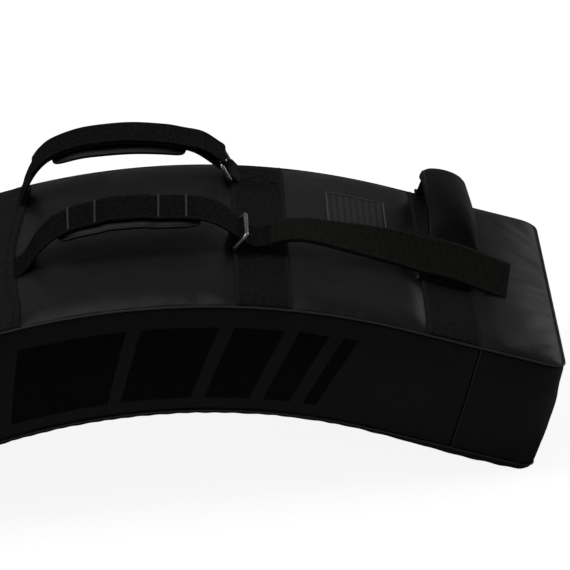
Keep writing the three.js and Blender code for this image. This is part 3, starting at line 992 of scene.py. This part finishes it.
def band_shape(side, start, tabs, bow):
    """Rows of places and cloth positions across the shield. Each row runs over the band's width."""
    rows = []
    columns = [-1, -0.985, -0.9, -0.72, -0.5, -0.25, 0, 0.25, 0.5, 0.72, 0.9, 0.985, 1]
    for y in np.linspace(-HALF_WIDTH + BAND_HEM, HALF_WIDTH - BAND_HEM, 76):
        row = []
        slip = bow * math.cos(math.pi * y / (2 * HALF_WIDTH)) ** 2
        for c in columns:
            inner = (1 - side * c) / 2
            along = side * start + side * BAND_WIDTH / 2 + c * BAND_WIDTH / 2 - slip * inner
            lift = BAND_LIFT * (0.15 if abs(c) == 1 else 0.85 if abs(c) > 0.98 else 1)
            for tab in tabs:
                over = 1 - ease(21 * MM, 29 * MM, abs(y - tab))
                reach = 1 - ease(0.55, 0.95, side * c)
                lift += 1.7 * MM * over * reach * (0.3 if abs(c) == 1 else 1)
            lift += 0.16 * MM * noise.noise(Vector((along * 60, y * 45, 2)))
            place, _ = on_back(along, y, lift)
            row.append((place, (y, along - side * start)))
        rows.append(row)
    return rows


def lay_band(name, side, start, tabs=(), bow=0.0, creases=0.0):
    """A band on one side of the middle. bow pulls its inner edge inwards, and creases sets their depth."""
    rows = band_shape(side, start, tabs, bow)
    wide = len(rows[0])
    points, uvs = [], []
    for row in rows:
        for place, uv in row:
            y = place.y
            fold = math.sin((place.x * 0.9 - y + 0.004 * math.sin(y * 90)) * 2 * math.pi / (19 * MM))
            dent = creases * 0.4 * fold * (0.5 + noise.noise(Vector((y * 16, place.x * 20, 8))))
            points.append(place + Vector((0, 0, 1)) * dent)
            uvs.append(uv)
    faces = [
        (i * wide + j, i * wide + j + 1, (i + 1) * wide + j + 1, (i + 1) * wide + j)
        for i in range(len(rows) - 1) for j in range(wide - 1)
    ]
    first = len(points)
    for number in range(first):
        points.append(points[number] - outward(points[number].x) * (0.9 * MM + BAND_LIFT * 0.4))
        uvs.append(uvs[number])
    faces += [tuple(first + v for v in face[::-1]) for face in faces]
    rim = list(range(wide)) + [i * wide + wide - 1 for i in range(1, len(rows))]
    rim += [(len(rows) - 1) * wide + j for j in range(wide - 2, -1, -1)]
    rim += [i * wide for i in range(len(rows) - 2, 0, -1)]
    faces += [(a, b, b + first, a + first) for a, b in zip(rim, rim[1:] + rim[:1])]
    band = settle_normals(new_object(name + "_webbing", points, faces, BAND_WEBBING, uvs))
    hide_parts(name)
    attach(band, "shield")
    edges = []
    for column in (2, wide - 3):
        edges.append([row[column][0] + outward(row[column][0].x) * 0.25 * MM for row in rows])
        if bow:
            edges.append([p + Vector((5 * MM, 0, 0)) * (1 if column == 2 else -1) for p in edges[-1]])
    sewn = stitches(name + "_edge_stitches", edges, GREY_THREAD, lift=lambda p: outward(p[0]))
    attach(sewn, "shield")
    print(name, "laid in", len(rows), "rows")


TABS = (FRONT_STRAP_Y, REAR_STRAP_Y)
lay_band("left_inner_band", -1, INNER_BAND, TABS, 10 * MM, 2.4 * MM)
lay_band("right_inner_band", 1, INNER_BAND, TABS)
lay_band("left_outer_band", -1, OUTER_BAND)
lay_band("right_outer_band", 1, OUTER_BAND)

# %% Box stitches over each hidden tab


def box_stitch(name, low, high, front, rear, lift):
    """A sewn rectangle with a cross in it, laid on the back between two distances and two Y places."""

    def on_line(a, b):
        return [
            on_back(a[0] + (b[0] - a[0]) * t, a[1] + (b[1] - a[1]) * t, lift)[0]
            for t in np.linspace(0, 1, 14)
        ]

    corners = [(low, front), (high, front), (high, rear), (low, rear)]
    lines = [on_line(a, b) for a, b in zip(corners, corners[1:] + corners[:1])]
    lines += [on_line(corners[0], corners[2]), on_line(corners[1], corners[3])]
    sewn = stitches(name, lines, GREY_THREAD, 3.4 * MM, 0.40 * MM, lambda p: outward(p[0]))
    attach(sewn, "shield")


BOX_LIFT = BAND_LIFT + 1.95 * MM
for label, y in (("front", FRONT_STRAP_Y), ("rear", REAR_STRAP_Y)):
    low, high = INNER_BAND + 7 * MM, INNER_BAND + 41 * MM
    box_stitch(f"right_{label}_box_stitch", low, high, y - 17 * MM, y + 17 * MM, BOX_LIFT)
print("box stitches laid on the right inner band")

# %% [markdown]
# ## Front forearm strap
# The front strap is undone. It leaves the left band, arches over its grip, dives through the wire ring
# and lies out to the right as a loose tail. It crosses three moving bodies, so it is made as three
# strips that meet where other pieces hide the joins.

# %% The strap's line and its three strips
FRONT_RUN = [
    (-133, 1.5), (-125, 1.5), (-110, 1.5), (-98, 1.5), (-93.5, 2.9), (-89, 5.8), (-83, 11.5), (-77, 18),
    (-70, 23.5), (-61, 29.5), (-49, 34), (-36, 36.8), (-12, 38), (20, 37.4), (50, 36.4), (65, 34.6),
    (76, 31), (84, 26.5), (91, 21), (98, 15), (105, 10.4), (112, 10), (123, 12.5), (147, 19), (188, 18),
    (228, 18), (254, 17.6), (282, 17.9), (311, 14.6), (333, 11.4),
]
STRAP_LEAN = math.radians(4.5)
TAIL_LEAN = math.radians(21)


def stand(flat, y):
    """A side-view line stood up at one y place."""
    return np.column_stack([flat[:, 0], np.full(len(flat), y), flat[:, 1]])


def cut_line(line, low, high):
    """The stretch of a line between two x places, with its ends exactly there."""
    x = line[:, 0]
    inner = line[(x > low) & (x < high)]
    ends = [np.array([np.interp(edge, x, line[:, axis]) for axis in range(3)]) for edge in (low, high)]
    return np.vstack([ends[0], inner, ends[1]])


FRONT_LINE = stand(smooth_line(route(FRONT_RUN), 170), FRONT_STRAP_Y)


def front_lean(line):
    x = line[:, 0]
    return STRAP_LEAN * ease(-0.1, -0.07, x) * (1 - ease(0.085, 0.1, x)) + TAIL_LEAN * ease(0.118, 0.27, x)


def strip(name, line, nodes, tilt=0.0):
    """One strip of a strap, with the CAD nodes it replaces."""
    piece = ribbon(name, line, (0, 1, 0), STRAP_WIDTH, STRAP_THICK, FUZZY_WEBBING, tilt)
    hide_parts(*nodes)
    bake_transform(piece)


def arched(line, low, high, rise):
    """The strap stands a little off its grip between two bar tacks."""
    line = line.copy()
    x = line[:, 0]
    line[:, 2] += rise * ease(low, low + 0.012, x) * (1 - ease(high - 0.012, high, x))
    return line


FRONT_LINE = arched(FRONT_LINE, -25 * MM, 30 * MM, 1.6 * MM)
FRONT_START = cut_line(FRONT_LINE, -0.104, -0.049)
FRONT_MIDDLE = cut_line(FRONT_LINE, -0.049, 0.103)
TAIL_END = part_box("front_tail")[1].x - 0.5 * MM
FRONT_TAIL = cut_line(FRONT_LINE, 0.103, TAIL_END)
strip("front_strap_start", FRONT_START, ["front_strap_base"],
      front_lean(FRONT_START))
strip("front_strap_middle", FRONT_MIDDLE, ["front_strap", "front_strap_end"],
      front_lean(FRONT_MIDDLE))
strip("front_strap_tail", FRONT_TAIL, ["front_tail"], front_lean(FRONT_TAIL))

# %% The ribbed tape sewn on the tail, its cross stitch and its edge stitches


def above(line, lean, lift):
    """The same line moved out of its strap's upper face."""
    ahead, _ = frames_along(line, False)
    up = np.cross(ahead, (0, 1, 0))
    up /= np.linalg.norm(up, axis=1)[:, None]
    over = up * np.cos(lean)[:, None] - np.array([0, 1, 0]) * np.sin(lean)[:, None]
    return line + over * lift, over


TAPE_LINE = cut_line(FRONT_LINE, 0.124, TAIL_END - 0.6 * MM)
TAPE_LEAN = front_lean(TAPE_LINE)
TAPE_RAISED, _ = above(TAPE_LINE, TAPE_LEAN, STRAP_THICK / 2 + 0.55 * MM)
tape = ribbon("tail_ribbed_tape", TAPE_RAISED, (0, 1, 0), STRAP_WIDTH - 1 * MM, 1.3 * MM, RIBBED_WEBBING,
              TAPE_LEAN, 0.3 * MM)
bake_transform(tape)


def beside(line, lean, lift, sideways):
    """A stitch line on a strap: raised off its face and moved across it."""
    raised, over = above(line, lean, lift)
    side = np.array([0, 1, 0]) * np.cos(lean)[:, None]
    up = over * np.sin(lean)[:, None]
    return raised + side * sideways + up * sideways


def tape_stitch(name, lines, pitch=3.6 * MM):
    sewn = stitches(name, lines, GREY_THREAD, pitch, 0.34 * MM, (0.1, 0, 1))
    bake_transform(sewn)


TAPE_TOP = STRAP_THICK / 2 + 1.25 * MM
edge_lines = [beside(TAPE_LINE, TAPE_LEAN, TAPE_TOP, sideways) for sideways in (-21.5 * MM, 21.5 * MM)]


def across_tail(x, width):
    """Points straight across the tail at one place."""
    here = cut_line(FRONT_LINE, x, x + 0.5 * MM)[:2]
    lean = front_lean(here)
    return [beside(here, lean, TAPE_TOP, s)[0] for s in np.linspace(-width / 2, width / 2, 9)]


tape_stitch("tail_edge_stitches", edge_lines)
cross_lines = [across_tail(x, 42 * MM) for x in (126.5 * MM, TAIL_END - 3.4 * MM)]
tape_stitch("tail_cross_stitches", cross_lines, 2.6 * MM)
front_steps = np.linalg.norm(np.diff(FRONT_LINE, axis=0), axis=1)
print("front strap: run of", round(float(front_steps.sum()), 3), "m")

# %% [markdown]
# ## Grips under the straps
# A padded vinyl grip is tacked under each strap. It is a flat sausage of foam in thin vinyl, fuller in
# the middle and rounded at both ends, with a piped edge. It is swept along the underside of its strap
# as rounded sections, and a faint ripple keeps it from looking moulded.

# %% Sweep a padded section along a line


def padded_sweep(name, line, across, width, thick, material, roundness, ripple, around=26, flat=1.0):
    """width and thick are functions of the share of the run. flat under 1 flattens the underside."""
    line = np.array(line, float)
    across = np.array(across, float)
    ahead, _ = frames_along(line, False)
    points, faces = [], []
    for i, (c, way) in enumerate(zip(line, ahead)):
        share = i / (len(line) - 1)
        up = np.cross(way, across)
        up /= np.linalg.norm(up)
        for angle in np.linspace(0, 2 * math.pi, around, endpoint=False):
            ca, sa = math.cos(angle), math.sin(angle)
            a = math.copysign(abs(ca) ** (2 / roundness), ca)
            b = math.copysign(abs(sa) ** (2 / roundness), sa) * (flat if sa < 0 else 1)
            wave = noise.noise(Vector((c[0] * 60, c[1] * 60 + a * 2, b * 2))) * ripple
            points.append(c + across * a * (width(share) / 2 + wave) + up * (b * thick(share) / 2 + wave))
    for i in range(len(line) - 1):
        for j in range(around):
            k = (j + 1) % around
            faces.append((i * around + j, i * around + k, (i + 1) * around + k, (i + 1) * around + j))
    faces.append(tuple(range(around)))
    faces.append(tuple(range((len(line) - 1) * around, len(line) * around)))
    pad = settle_normals(new_object(name, points, faces, material))
    pad.modifiers.new("round", "SUBSURF").levels = 1
    seen = pad.evaluated_get(bpy.context.evaluated_depsgraph_get())
    rounded = bpy.data.meshes.new_from_object(seen)
    pad.modifiers.clear()
    pad.data = rounded
    return pad


def end_taper(full, least, sharp):
    """A size that is full along the middle and drops to its least at both ends."""
    return lambda share: least + (full - least) * max(0.0, 1 - abs(2 * share - 1) ** sharp) ** 0.5


def lower_line(line, y, low, high, drop, count, sag):
    """The line that a grip's middle follows under a strap."""
    part = cut_line(line, low, high)
    raised, _ = above(part, np.zeros(len(part)), -drop)
    raised[:, 1] = y
    even = even_steps(raised, count)
    share = np.linspace(0, 1, count + 1)
    even[:, 2] -= sag * np.sin(math.pi * share) ** 2
    return even


def make_grip(name, line, y, low, high, body, node, sag, lean):
    """A grip with its piping. It hangs under the strap from one x place to another."""
    under = lower_line(line, y, low, high, STRAP_THICK / 2 + 4.3 * MM, 46, sag)
    across = (0, math.cos(lean), math.sin(lean))
    grip = padded_sweep(name, under, across, end_taper(60 * MM, 26 * MM, 7), end_taper(10 * MM, 3.4 * MM, 7),
                        GRIP_VINYL, 2.3, 0.08 * MM)
    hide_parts(node)
    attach(grip, body)
    half = end_taper(60.2 * MM, 26.6 * MM, 7)
    rim = []
    for sign, order in ((-1, 1), (1, -1)):
        for i in list(range(1, len(under) - 1))[::order]:
            share = i / (len(under) - 1)
            rim.append(under[i] + np.array(across) * sign * half(share) / 2 + np.array([0, 0, 0.9 * MM]))
    # The piping takes the welt vinyl, painted several times lighter than the grip: a painted highlight along
    # the grip's rim.
    piping = tube(name + "_piping", rim, 0.85 * MM, WELT_VINYL_PAINTED_HIGHLIGHT, 8, True)
    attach(piping, body)


make_grip("front_strap_grip", FRONT_LINE, FRONT_STRAP_Y, -62 * MM, 69 * MM,
          "front_handle", "front_grip", 0.6 * MM, STRAP_LEAN)

# %% Bar tacks: dense zigzags that hold each grip to its strap


TACK_WIDTH = 45 * MM
TACK_TURNS = 42


def bar_tack(name, line, lean, x, body, lift=0.35 * MM):
    """One zigzag across a strap. lift is measured from the strap's upper face."""
    here = cut_line(line, x, x + 0.5 * MM)[:2]
    tilt = np.full(2, lean)
    marks = []
    for i in range(TACK_TURNS + 1):
        s = -TACK_WIDTH / 2 + TACK_WIDTH * i / TACK_TURNS
        place = beside(here, tilt, STRAP_THICK / 2 + lift, s)[0]
        marks.append(place + np.array([0.75 * MM * (1 if i % 2 else -1), 0, 0]))
    tack = tube(name, marks, 0.42 * MM, PALE_THREAD, 6)
    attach(tack, body)


for number, x in enumerate((-0.0485, -0.025, 0.030, 0.054)):
    bar_tack(f"front_bar_tack_{number + 1}", FRONT_LINE, STRAP_LEAN, x, "front_handle")
print("front grip and its bar tacks done")

# %% [markdown]
# ## Wire rings and their keepers
# Each ring is one bent and welded steel wire, a rounded rectangle. Its fixed bar turns in a webbing loop
# that is sewn under the band. The loop is a short strip wrapped round the bar.

# %% Bend the rings and wrap the keepers
KEEPER_ALONG = 91
KEEPER_HEIGHT = 7
RING_BAR = 4 * MM
RING_OPENING = 13 * MM
RING_SLOT = 49.6 * MM


def ring_line(lean, y):
    """The middle of the wire: a rounded rectangle that leans back from its fixed bar."""
    fixed = spot(KEEPER_ALONG * MM, y, KEEPER_HEIGHT * MM)
    reach = Vector((math.cos(lean), 0, math.sin(lean)))
    half, deep, round_by = (RING_SLOT + RING_BAR) / 2, RING_OPENING + RING_BAR, 4.2 * MM
    line = []
    for sy, sd, quarter in ((1, 1, 0), (-1, 1, 1), (-1, 0, 2), (1, 0, 3)):
        centre_y = sy * (half - round_by)
        centre_d = deep - round_by if sd else round_by
        for step in range(7):
            angle = (quarter + step / 6) * math.pi / 2
            side = centre_y + round_by * math.cos(angle)
            line.append(fixed + reach * (centre_d + round_by * math.sin(angle)) + Vector((0, side, 0)))
    return line


def denser(line, count):
    closed = np.vstack([line, line[:1]])
    return even_steps(np.array(closed, float), count)[:-1]


def make_ring(name, lean, y, body, node):
    ring = tube(name, denser(np.array(ring_line(lean, y)), 110), RING_BAR / 2, STEEL, 16, True)
    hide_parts(node)
    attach(ring, body)


KEEPER_WRAP = 3.35 * MM


def make_keeper(name, y, node):
    """A loop from under the band, round the ring's fixed bar and back."""
    centre = np.array(bend(KEEPER_ALONG * MM, KEEPER_HEIGHT * MM))
    upper = [bend(a * MM, h * MM) for a, h in ((114, 0.2), (107, 0.5), (102.5, 1.8), (98.5, 4.2))]
    turns = np.radians(range(50, 301, 25))
    loop = [centre + KEEPER_WRAP * np.array([math.cos(t), math.sin(t)]) for t in turns]
    lower = [bend(a * MM, h * MM) for a, h in ((98.5, 0.9), (104, -0.6), (114, -1.2))]
    flat = smooth_line(np.array(upper + loop + lower), 64)
    keeper = ribbon(name, stand(flat, y), (0, 1, 0), 44 * MM, 1.5 * MM, BAND_WEBBING)
    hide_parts(node)
    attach(keeper, "shield")


REAR_RING_LEAN = math.radians(114)
make_ring("front_wire_ring", math.radians(43.6), FRONT_STRAP_Y, "front_ring", "front_ring")
make_ring("rear_wire_ring", REAR_RING_LEAN, REAR_STRAP_Y, "rear_ring", "rear_ring")
make_keeper("front_keeper_loop", FRONT_STRAP_Y, "front_ring_keeper")
make_keeper("rear_keeper_loop", REAR_STRAP_Y, "rear_ring_keeper")
print("rings and keepers done")

# %% [markdown]
# ## Rear forearm strap
# The rear strap is done up. It arches over its grip, turns round the ring's free bar and comes back over
# itself to the left, where the hook side holds it. It is five strips, and the last of them is its tail, cut
# off at the peel place.

# %% The rear strap's lower run, its turn and its upper run
REAR_RUN = [
    (-133, 1.5), (-125, 1.5), (-108, 1.5), (-101.5, 1.8), (-96.5, 6), (-91.5, 14.5), (-84, 24.5),
    (-75, 33.4), (-63, 40.4), (-42, 45.3), (-21, 46.2), (6, 45.2), (33, 41.4), (50, 37), (63, 31.6),
]
RETURN_RUN = [
    (67, 33.2), (50, 37.6), (33, 41.6), (6, 45.3), (-21, 46.2), (-42, 45.4), (-63, 40.6), (-75, 33.6),
    (-82, 27),
]
LAYER = STRAP_THICK / MM + 0.4


def rear_lines():
    """Side-view lines of the lower run, the turn round the bar, and the upper run."""
    fixed = np.array(bend(KEEPER_ALONG * MM, KEEPER_HEIGHT * MM))
    reach = np.array([math.cos(REAR_RING_LEAN), math.sin(REAR_RING_LEAN)])
    bar = fixed + (RING_OPENING + RING_BAR) * reach
    turn_radius = RING_BAR / 2 + 0.3 * MM + STRAP_THICK / 2
    slope = math.radians(32)
    touch = np.array([math.sin(slope), math.cos(slope)]) * turn_radius
    lower = smooth_line(np.vstack([route(REAR_RUN), bar - touch]), 110)
    raised = route([(a, h + LAYER) for a, h in RETURN_RUN])
    upper = smooth_line(np.vstack([bar + touch, raised]), 90)
    angles = -math.pi / 2 - slope + np.linspace(0, math.pi, 15)[1:-1]
    turn = bar + turn_radius * np.column_stack([np.cos(angles), np.sin(angles)])
    return lower, turn, upper


REAR_LOWER, REAR_TURN, REAR_UPPER = rear_lines()
FOLD_X = 72 * MM
PEEL_X = 48 * MM
LOWER_LINE = stand(REAR_LOWER, REAR_STRAP_Y)
UPPER_LINE = stand(REAR_UPPER[::-1], REAR_STRAP_Y)
fold_line = stand(np.vstack([
    REAR_LOWER[REAR_LOWER[:, 0] > FOLD_X], REAR_TURN, REAR_UPPER[REAR_UPPER[:, 0] > FOLD_X]]), REAR_STRAP_Y)
fold_line = np.vstack([
    cut_line(LOWER_LINE, 0.060, FOLD_X)[-1:], fold_line, cut_line(UPPER_LINE, FOLD_X, 0.09)[:1]])

strip("rear_strap_start", cut_line(LOWER_LINE, -0.104, -0.020), ["rear_strap_base"])
strip("rear_strap_middle", cut_line(LOWER_LINE, -0.020, FOLD_X), ["rear_strap"])
strip("rear_strap_turn", fold_line, ["rear_strap_fold"])
strip("rear_strap_over", cut_line(UPPER_LINE, PEEL_X, FOLD_X), ["rear_strap_return"])
strip("rear_strap_tail", cut_line(UPPER_LINE, float(UPPER_LINE[0, 0]) + 1e-5, PEEL_X), ["rear_tail"])
make_grip("rear_strap_grip", LOWER_LINE, REAR_STRAP_Y, -69 * MM, 57 * MM,
          "rear_handle", "rear_grip", 1.6 * MM, 0.0)
UNDER_STRAP = -STRAP_THICK - 0.5 * MM
for number, x in enumerate((-0.052, -0.032, 0.018, 0.041)):
    bar_tack(f"rear_bar_tack_{number + 1}", LOWER_LINE, 0.0, x, "rear_handle", UNDER_STRAP)
print("rear strap done")

# %% [markdown]
# ## End handles
# A handle at each end is a webbing strap, sewn to the outer band at both feet, in a padded vinyl sleeve.
# The sleeve is rolled round foam from one piece and turned in along both sides, so it has two fine
# ridges. Both ends are the same pattern, set on the sloping straight run of the body.

# %% Arch of the handle
END_HANDLE_ALONG = 280 * MM
END_ARCH = [
    (166, 4.4), (158, 4.4), (151, 6.2), (146.5, 14), (140, 27), (127, 36.5), (104, 41.5), (62, 42.5),
    (32, 38.6), (8, 28.5), (-14, 19), (-34, 10.2), (-48, 5.6), (-58, 4.4), (-68, 4.4),
]


def on_end(side, sideways, y, height):
    """A place over the end run: along the body, across it and above it."""
    x, z = bend(side * END_HANDLE_ALONG, 0)
    way, run = outward(side * END_HANDLE_ALONG), Vector((math.cos(BEND), 0, -side * math.sin(BEND)))
    return Vector((float(x), y, float(z))) + way * height + run * sideways


def arch_line(side, low, high, count):
    """The middle of the handle's webbing between two y places."""
    flat = smooth_line(np.array(END_ARCH, float) * MM, 150)
    part = flat[(flat[:, 0] >= low - 1e-6) & (flat[:, 0] <= high + 1e-6)]
    ends = [np.array([e, np.interp(e, flat[::-1, 0], flat[::-1, 1])]) for e in (high, low)]
    part = np.vstack([ends[0], part, ends[1]])
    return np.array([on_end(side, 0, y, h) for y, h in even_steps(part, count)])


def make_end_handle(label, side):
    body = f"{label}_end_handle"
    out_of_back = outward(side * END_HANDLE_ALONG)
    across = Vector((math.cos(BEND), 0, -side * math.sin(BEND)))
    strips = [
        ("rear_foot", 132 * MM, 165 * MM, ("shield", body, (0, 0.152, 0), (0, 0.138, 0))),
        ("strap", 4 * MM, 132 * MM, None),
        ("front_foot", -57 * MM, 4 * MM, ("shield", body, (0, -0.020, 0), (0, 0.005, 0))),
    ]
    for part, low, high, bends in strips:
        line = arch_line(side, low, high, 40)
        wide = 38 * MM
        if part != "front_foot":
            wide = 32 * MM
            line = line - np.outer(np.full(len(line), side * 3 * MM), across)
        piece = ribbon(f"{label}_handle_{part}", line, across, wide, 2.4 * MM, BAND_WEBBING)
        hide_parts(f"{label}_end_handle_{part}")
        if bends:
            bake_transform(piece)
        else:
            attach(piece, body)
    line = arch_line(side, -12 * MM, 139 * MM, 60)
    share = np.linspace(0, 1, len(line))
    line = line + np.outer((share - 0.45) * side * 7 * MM, across)
    line = line - np.outer(np.sin(math.pi * share) * side * 4.5 * MM, across)
    line = line - np.outer((1 - share) ** 0.5 * 4 * MM, out_of_back)

    def sleeve_width(t):
        return (39 + 7 * t) * MM * (1 - 0.12 * (1 - ease(0, 0.04, t)))

    def sleeve_thick(t):
        return (19 - 14 * float(ease(0.8, 1.0, t)) - 8 * (1 - float(ease(0, 0.07, t)))) * MM

    sleeve = padded_sweep(f"{label}_handle_sleeve", line, across, sleeve_width, sleeve_thick,
                          SLEEVE_VINYL, 2.3, 0.5 * MM, 32, 0.75)
    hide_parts(f"{label}_end_handle_sleeve")
    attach(sleeve, body)
    ahead, _ = frames_along(line, False)
    for edge, sign in (("inner", -side), ("outer", side)):
        seam_points = []
        for t, c, way in list(zip(share, line, ahead))[3:-3]:
            up = np.cross(way, across)
            out = np.array(across) * sign * (sleeve_width(t) / 2 - 1.6 * MM)
            seam_points.append(c + out + up / np.linalg.norm(up) * sleeve_thick(t) * 0.2)
        # The ridges take the lighter grip vinyl, not the sleeve's own: a painted highlight along the
        # sleeve's turned-in edges.
        ridge = tube(f"{label}_handle_sleeve_{edge}_edge", seam_points, 0.7 * MM, GRIP_VINYL, 8)
        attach(ridge, body)
    rows = [
        [on_end(side, s * MM, y, 6.0 * MM) for s in np.linspace(-16, 16, 8)]
        for y in (0.1545, 0.162, -0.048, -0.055)
    ]
    foot = stitches(f"{label}_handle_foot_stitches", rows, DARK_THREAD, 3 * MM, 0.36 * MM, out_of_back)
    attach(foot, "shield")


make_end_handle("right", 1)
make_end_handle("left", -1)
print("end handles done")

# %% [markdown]
# ## Print and patch
# The long wall carries a glossy print. Here it is a plain row of slanted bars that thin out to the right,
# a generic pattern. The woven patch near the right end keeps its dotted field and pale border, with no mark.
# Both are thin sheets dropped onto the swollen cover, so they take its curve.

# %% Print the slanted bars on the front wall
PRINT_LEFT = -126 * MM
PRINT_TOP = -20 * MM
PRINT_LOW = -84 * MM
PRINT_SLANT = 0.42
BAR_WIDTHS = (96, 68, 44, 26, 13)
BAR_GAP = 13


def lay_bar(name, left, width):
    """One slanted bar, dropped onto the wall."""
    points, faces = [], []
    columns, rows = max(3, int(width / (6 * MM))), 12
    for r in range(rows + 1):
        height = PRINT_LOW + (PRINT_TOP - PRINT_LOW) * r / rows
        lean = (height - PRINT_LOW) * PRINT_SLANT
        for c in range(columns + 1):
            points.append(on_front_wall(left + lean + width * c / columns, height, 0.28 * MM))
    for r in range(rows):
        for c in range(columns):
            a = r * (columns + 1) + c
            faces.append((a, a + 1, a + columns + 2, a + columns + 1))
    bar = new_object(name, points, faces, PRINT)
    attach(bar, "shield")


left = PRINT_LEFT
for number, width in enumerate(BAR_WIDTHS):
    lay_bar(f"wall_print_bar_{number + 1}", left, width * MM)
    left += (width + BAR_GAP) * MM
print("print ends at", round(left, 3))

# %% Sew the patch on the back
LABEL_ALONG = 176 * MM
LABEL_LENGTH = 52 * MM
LABEL_FRONT = 31 * MM
LABEL_REAR = 103 * MM


def lay_patch():
    points, uvs, faces = [], [], []
    columns, rows = 20, 26
    for r in range(rows + 1):
        y = LABEL_FRONT + (LABEL_REAR - LABEL_FRONT) * r / rows
        for c in range(columns + 1):
            along = LABEL_ALONG + LABEL_LENGTH * c / columns
            edge = r in (0, rows) or c in (0, columns)
            points.append(on_back(along, y, 0.1 * MM if edge else 0.75 * MM)[0])
            uvs.append((along, y))
    for r in range(rows):
        for c in range(columns):
            a = r * (columns + 1) + c
            faces.append((a, a + 1, a + columns + 2, a + columns + 1))
    patch = new_object("woven_patch", points, faces, LABEL_CLOTH, uvs)
    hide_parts("label_patch")
    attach(patch, "shield")
    corners = [(LABEL_ALONG, LABEL_FRONT), (LABEL_ALONG, LABEL_REAR),
               (LABEL_ALONG + LABEL_LENGTH, LABEL_REAR), (LABEL_ALONG + LABEL_LENGTH, LABEL_FRONT)]
    rim = []
    for a, b in zip(corners, corners[1:] + corners[:1]):
        for t in np.linspace(0, 1, 12)[:-1]:
            rim.append(on_back(a[0] + (b[0] - a[0]) * t, a[1] + (b[1] - a[1]) * t, 0.7 * MM)[0])
    border = tube("woven_patch_border", rim, 0.75 * MM, PALE_THREAD, 6, True)
    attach(border, "shield")


lay_patch()
print("patch sewn", round(LABEL_LENGTH / MM), "mm wide")

# %% [markdown]
# ## Foam inside
# Three foam sheets fill the cover. Nothing of them shows on a whole shield, but their sharp CAD corners
# would press through the rounded cover, so each is remade as a rounded slab in the same place.

# %% Rounded foam sheets


def foam_slab(node, low, high):
    """One sheet of foam between two heights, rounded at the corners of its plan."""
    inset = 6 * MM
    half_long, half_wide = HALF_LENGTH - inset, HALF_WIDTH - inset
    along = even_stops([-half_long, half_long], 16 * MM)
    across = even_stops([-half_wide, half_wide], 16 * MM)
    corners, faces, _ = box_grid(along, across, [high, low])
    points = []
    for i, j, k in corners:
        s, y, _ = round_plan(along[i], across[j], half_long, half_wide, 16 * MM)
        place = spot(s, y, (high, low)[k])
        place.z = max(4 * MM, place.z)
        points.append(place)
    slab = new_object(node.replace("layer", "sheet"), points, faces, FOAM, smooth=False)
    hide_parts(node)
    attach(slab, "shield")


foam_slab("foam_strike_layer", -98 * MM, -78 * MM)
foam_slab("foam_core_layer", -77 * MM, -26 * MM)
foam_slab("foam_back_layer", -25 * MM, -6 * MM)
print("foam sheets done")

# %% [markdown]
# ## Studio
# A plain pale floor, two low soft lights behind, a broad one above and a weak one in front. The world is
# pale for the camera. For everything else it is a dim sky that fades downwards, so that dark vinyl keeps
# its depth.

# %% Floor, lights and world
scene = bpy.context.scene
scene.view_settings.view_transform = "Standard"


def make_floor():
    mesh = bpy.data.meshes.new("studio_floor")
    half = 6.0
    corners = [(-half, -half, 0), (half, -half, 0), (half, half, 0), (-half, half, 0)]
    mesh.from_pydata(corners, [], [(0, 1, 2, 3)])
    floor = bpy.data.objects.new("studio_floor", mesh)
    scene.collection.objects.link(floor)
    material, w, shader = start_material("studio_paper")
    place = w.node("ShaderNodeTexCoord").outputs["Object"]
    w.put(two_tones(w, w.noise(place, 3.0), (0.80,) * 3, (0.84,) * 3), shader.inputs["Base Color"])
    shader.inputs["Roughness"].default_value = 0.9
    shader.inputs["Emission Color"].default_value = (1, 1, 1, 1)
    seen = w.node("ShaderNodeLightPath").outputs["Is Camera Ray"]
    w.put(w.math("MULTIPLY", seen, 0.90), shader.inputs["Emission Strength"])
    mesh.materials.append(material)


def area_light(name, place, aim, size, power):
    data = bpy.data.lights.new(name, "AREA")
    data.shape = "RECTANGLE"
    data.size, data.size_y = size
    data.energy = power
    light = bpy.data.objects.new(name, data)
    scene.collection.objects.link(light)
    light.location = place
    light.rotation_euler = (Vector(aim) - Vector(place)).to_track_quat("-Z", "Y").to_euler()


def make_world():
    world = bpy.data.worlds.new("studio_air")
    scene.world = world
    world.use_nodes = True
    w = Wires(world.node_tree)
    background = world.node_tree.nodes["Background"]
    background.inputs["Color"].default_value = (1, 1, 1, 1)
    seen = w.node("ShaderNodeLightPath").outputs["Is Camera Ray"]
    way = w.node("ShaderNodeTexCoord").outputs["Generated"]
    height = w.node("ShaderNodeSeparateXYZ")
    w.put(way, height.inputs[0])
    air = w.span(height.outputs["Z"], -0.3, 0.9, 0.004, 0.085)
    w.put(w.math("ADD", w.math("MULTIPLY", seen, 1.05), air), background.inputs["Strength"])


make_floor()
make_world()
area_light("softbox_behind", (1.6, 1.55, 0.45), (0.2, 0, 0.1), (1.2, 0.5), 2.4)
area_light("softbox_behind_left", (-0.1, 2.1, 0.5), (0.0, 0, 0.2), (1.5, 0.45), 0.48)
area_light("softbox_above", (-0.4, 0.3, 2.3), (0.1, 0, 0.1), (1.8, 1.4), 6.6)
area_light("softbox_front", (-1.3, -2.4, 1.7), (0.0, 0, 0.1), (1.6, 1.2), 0.75)
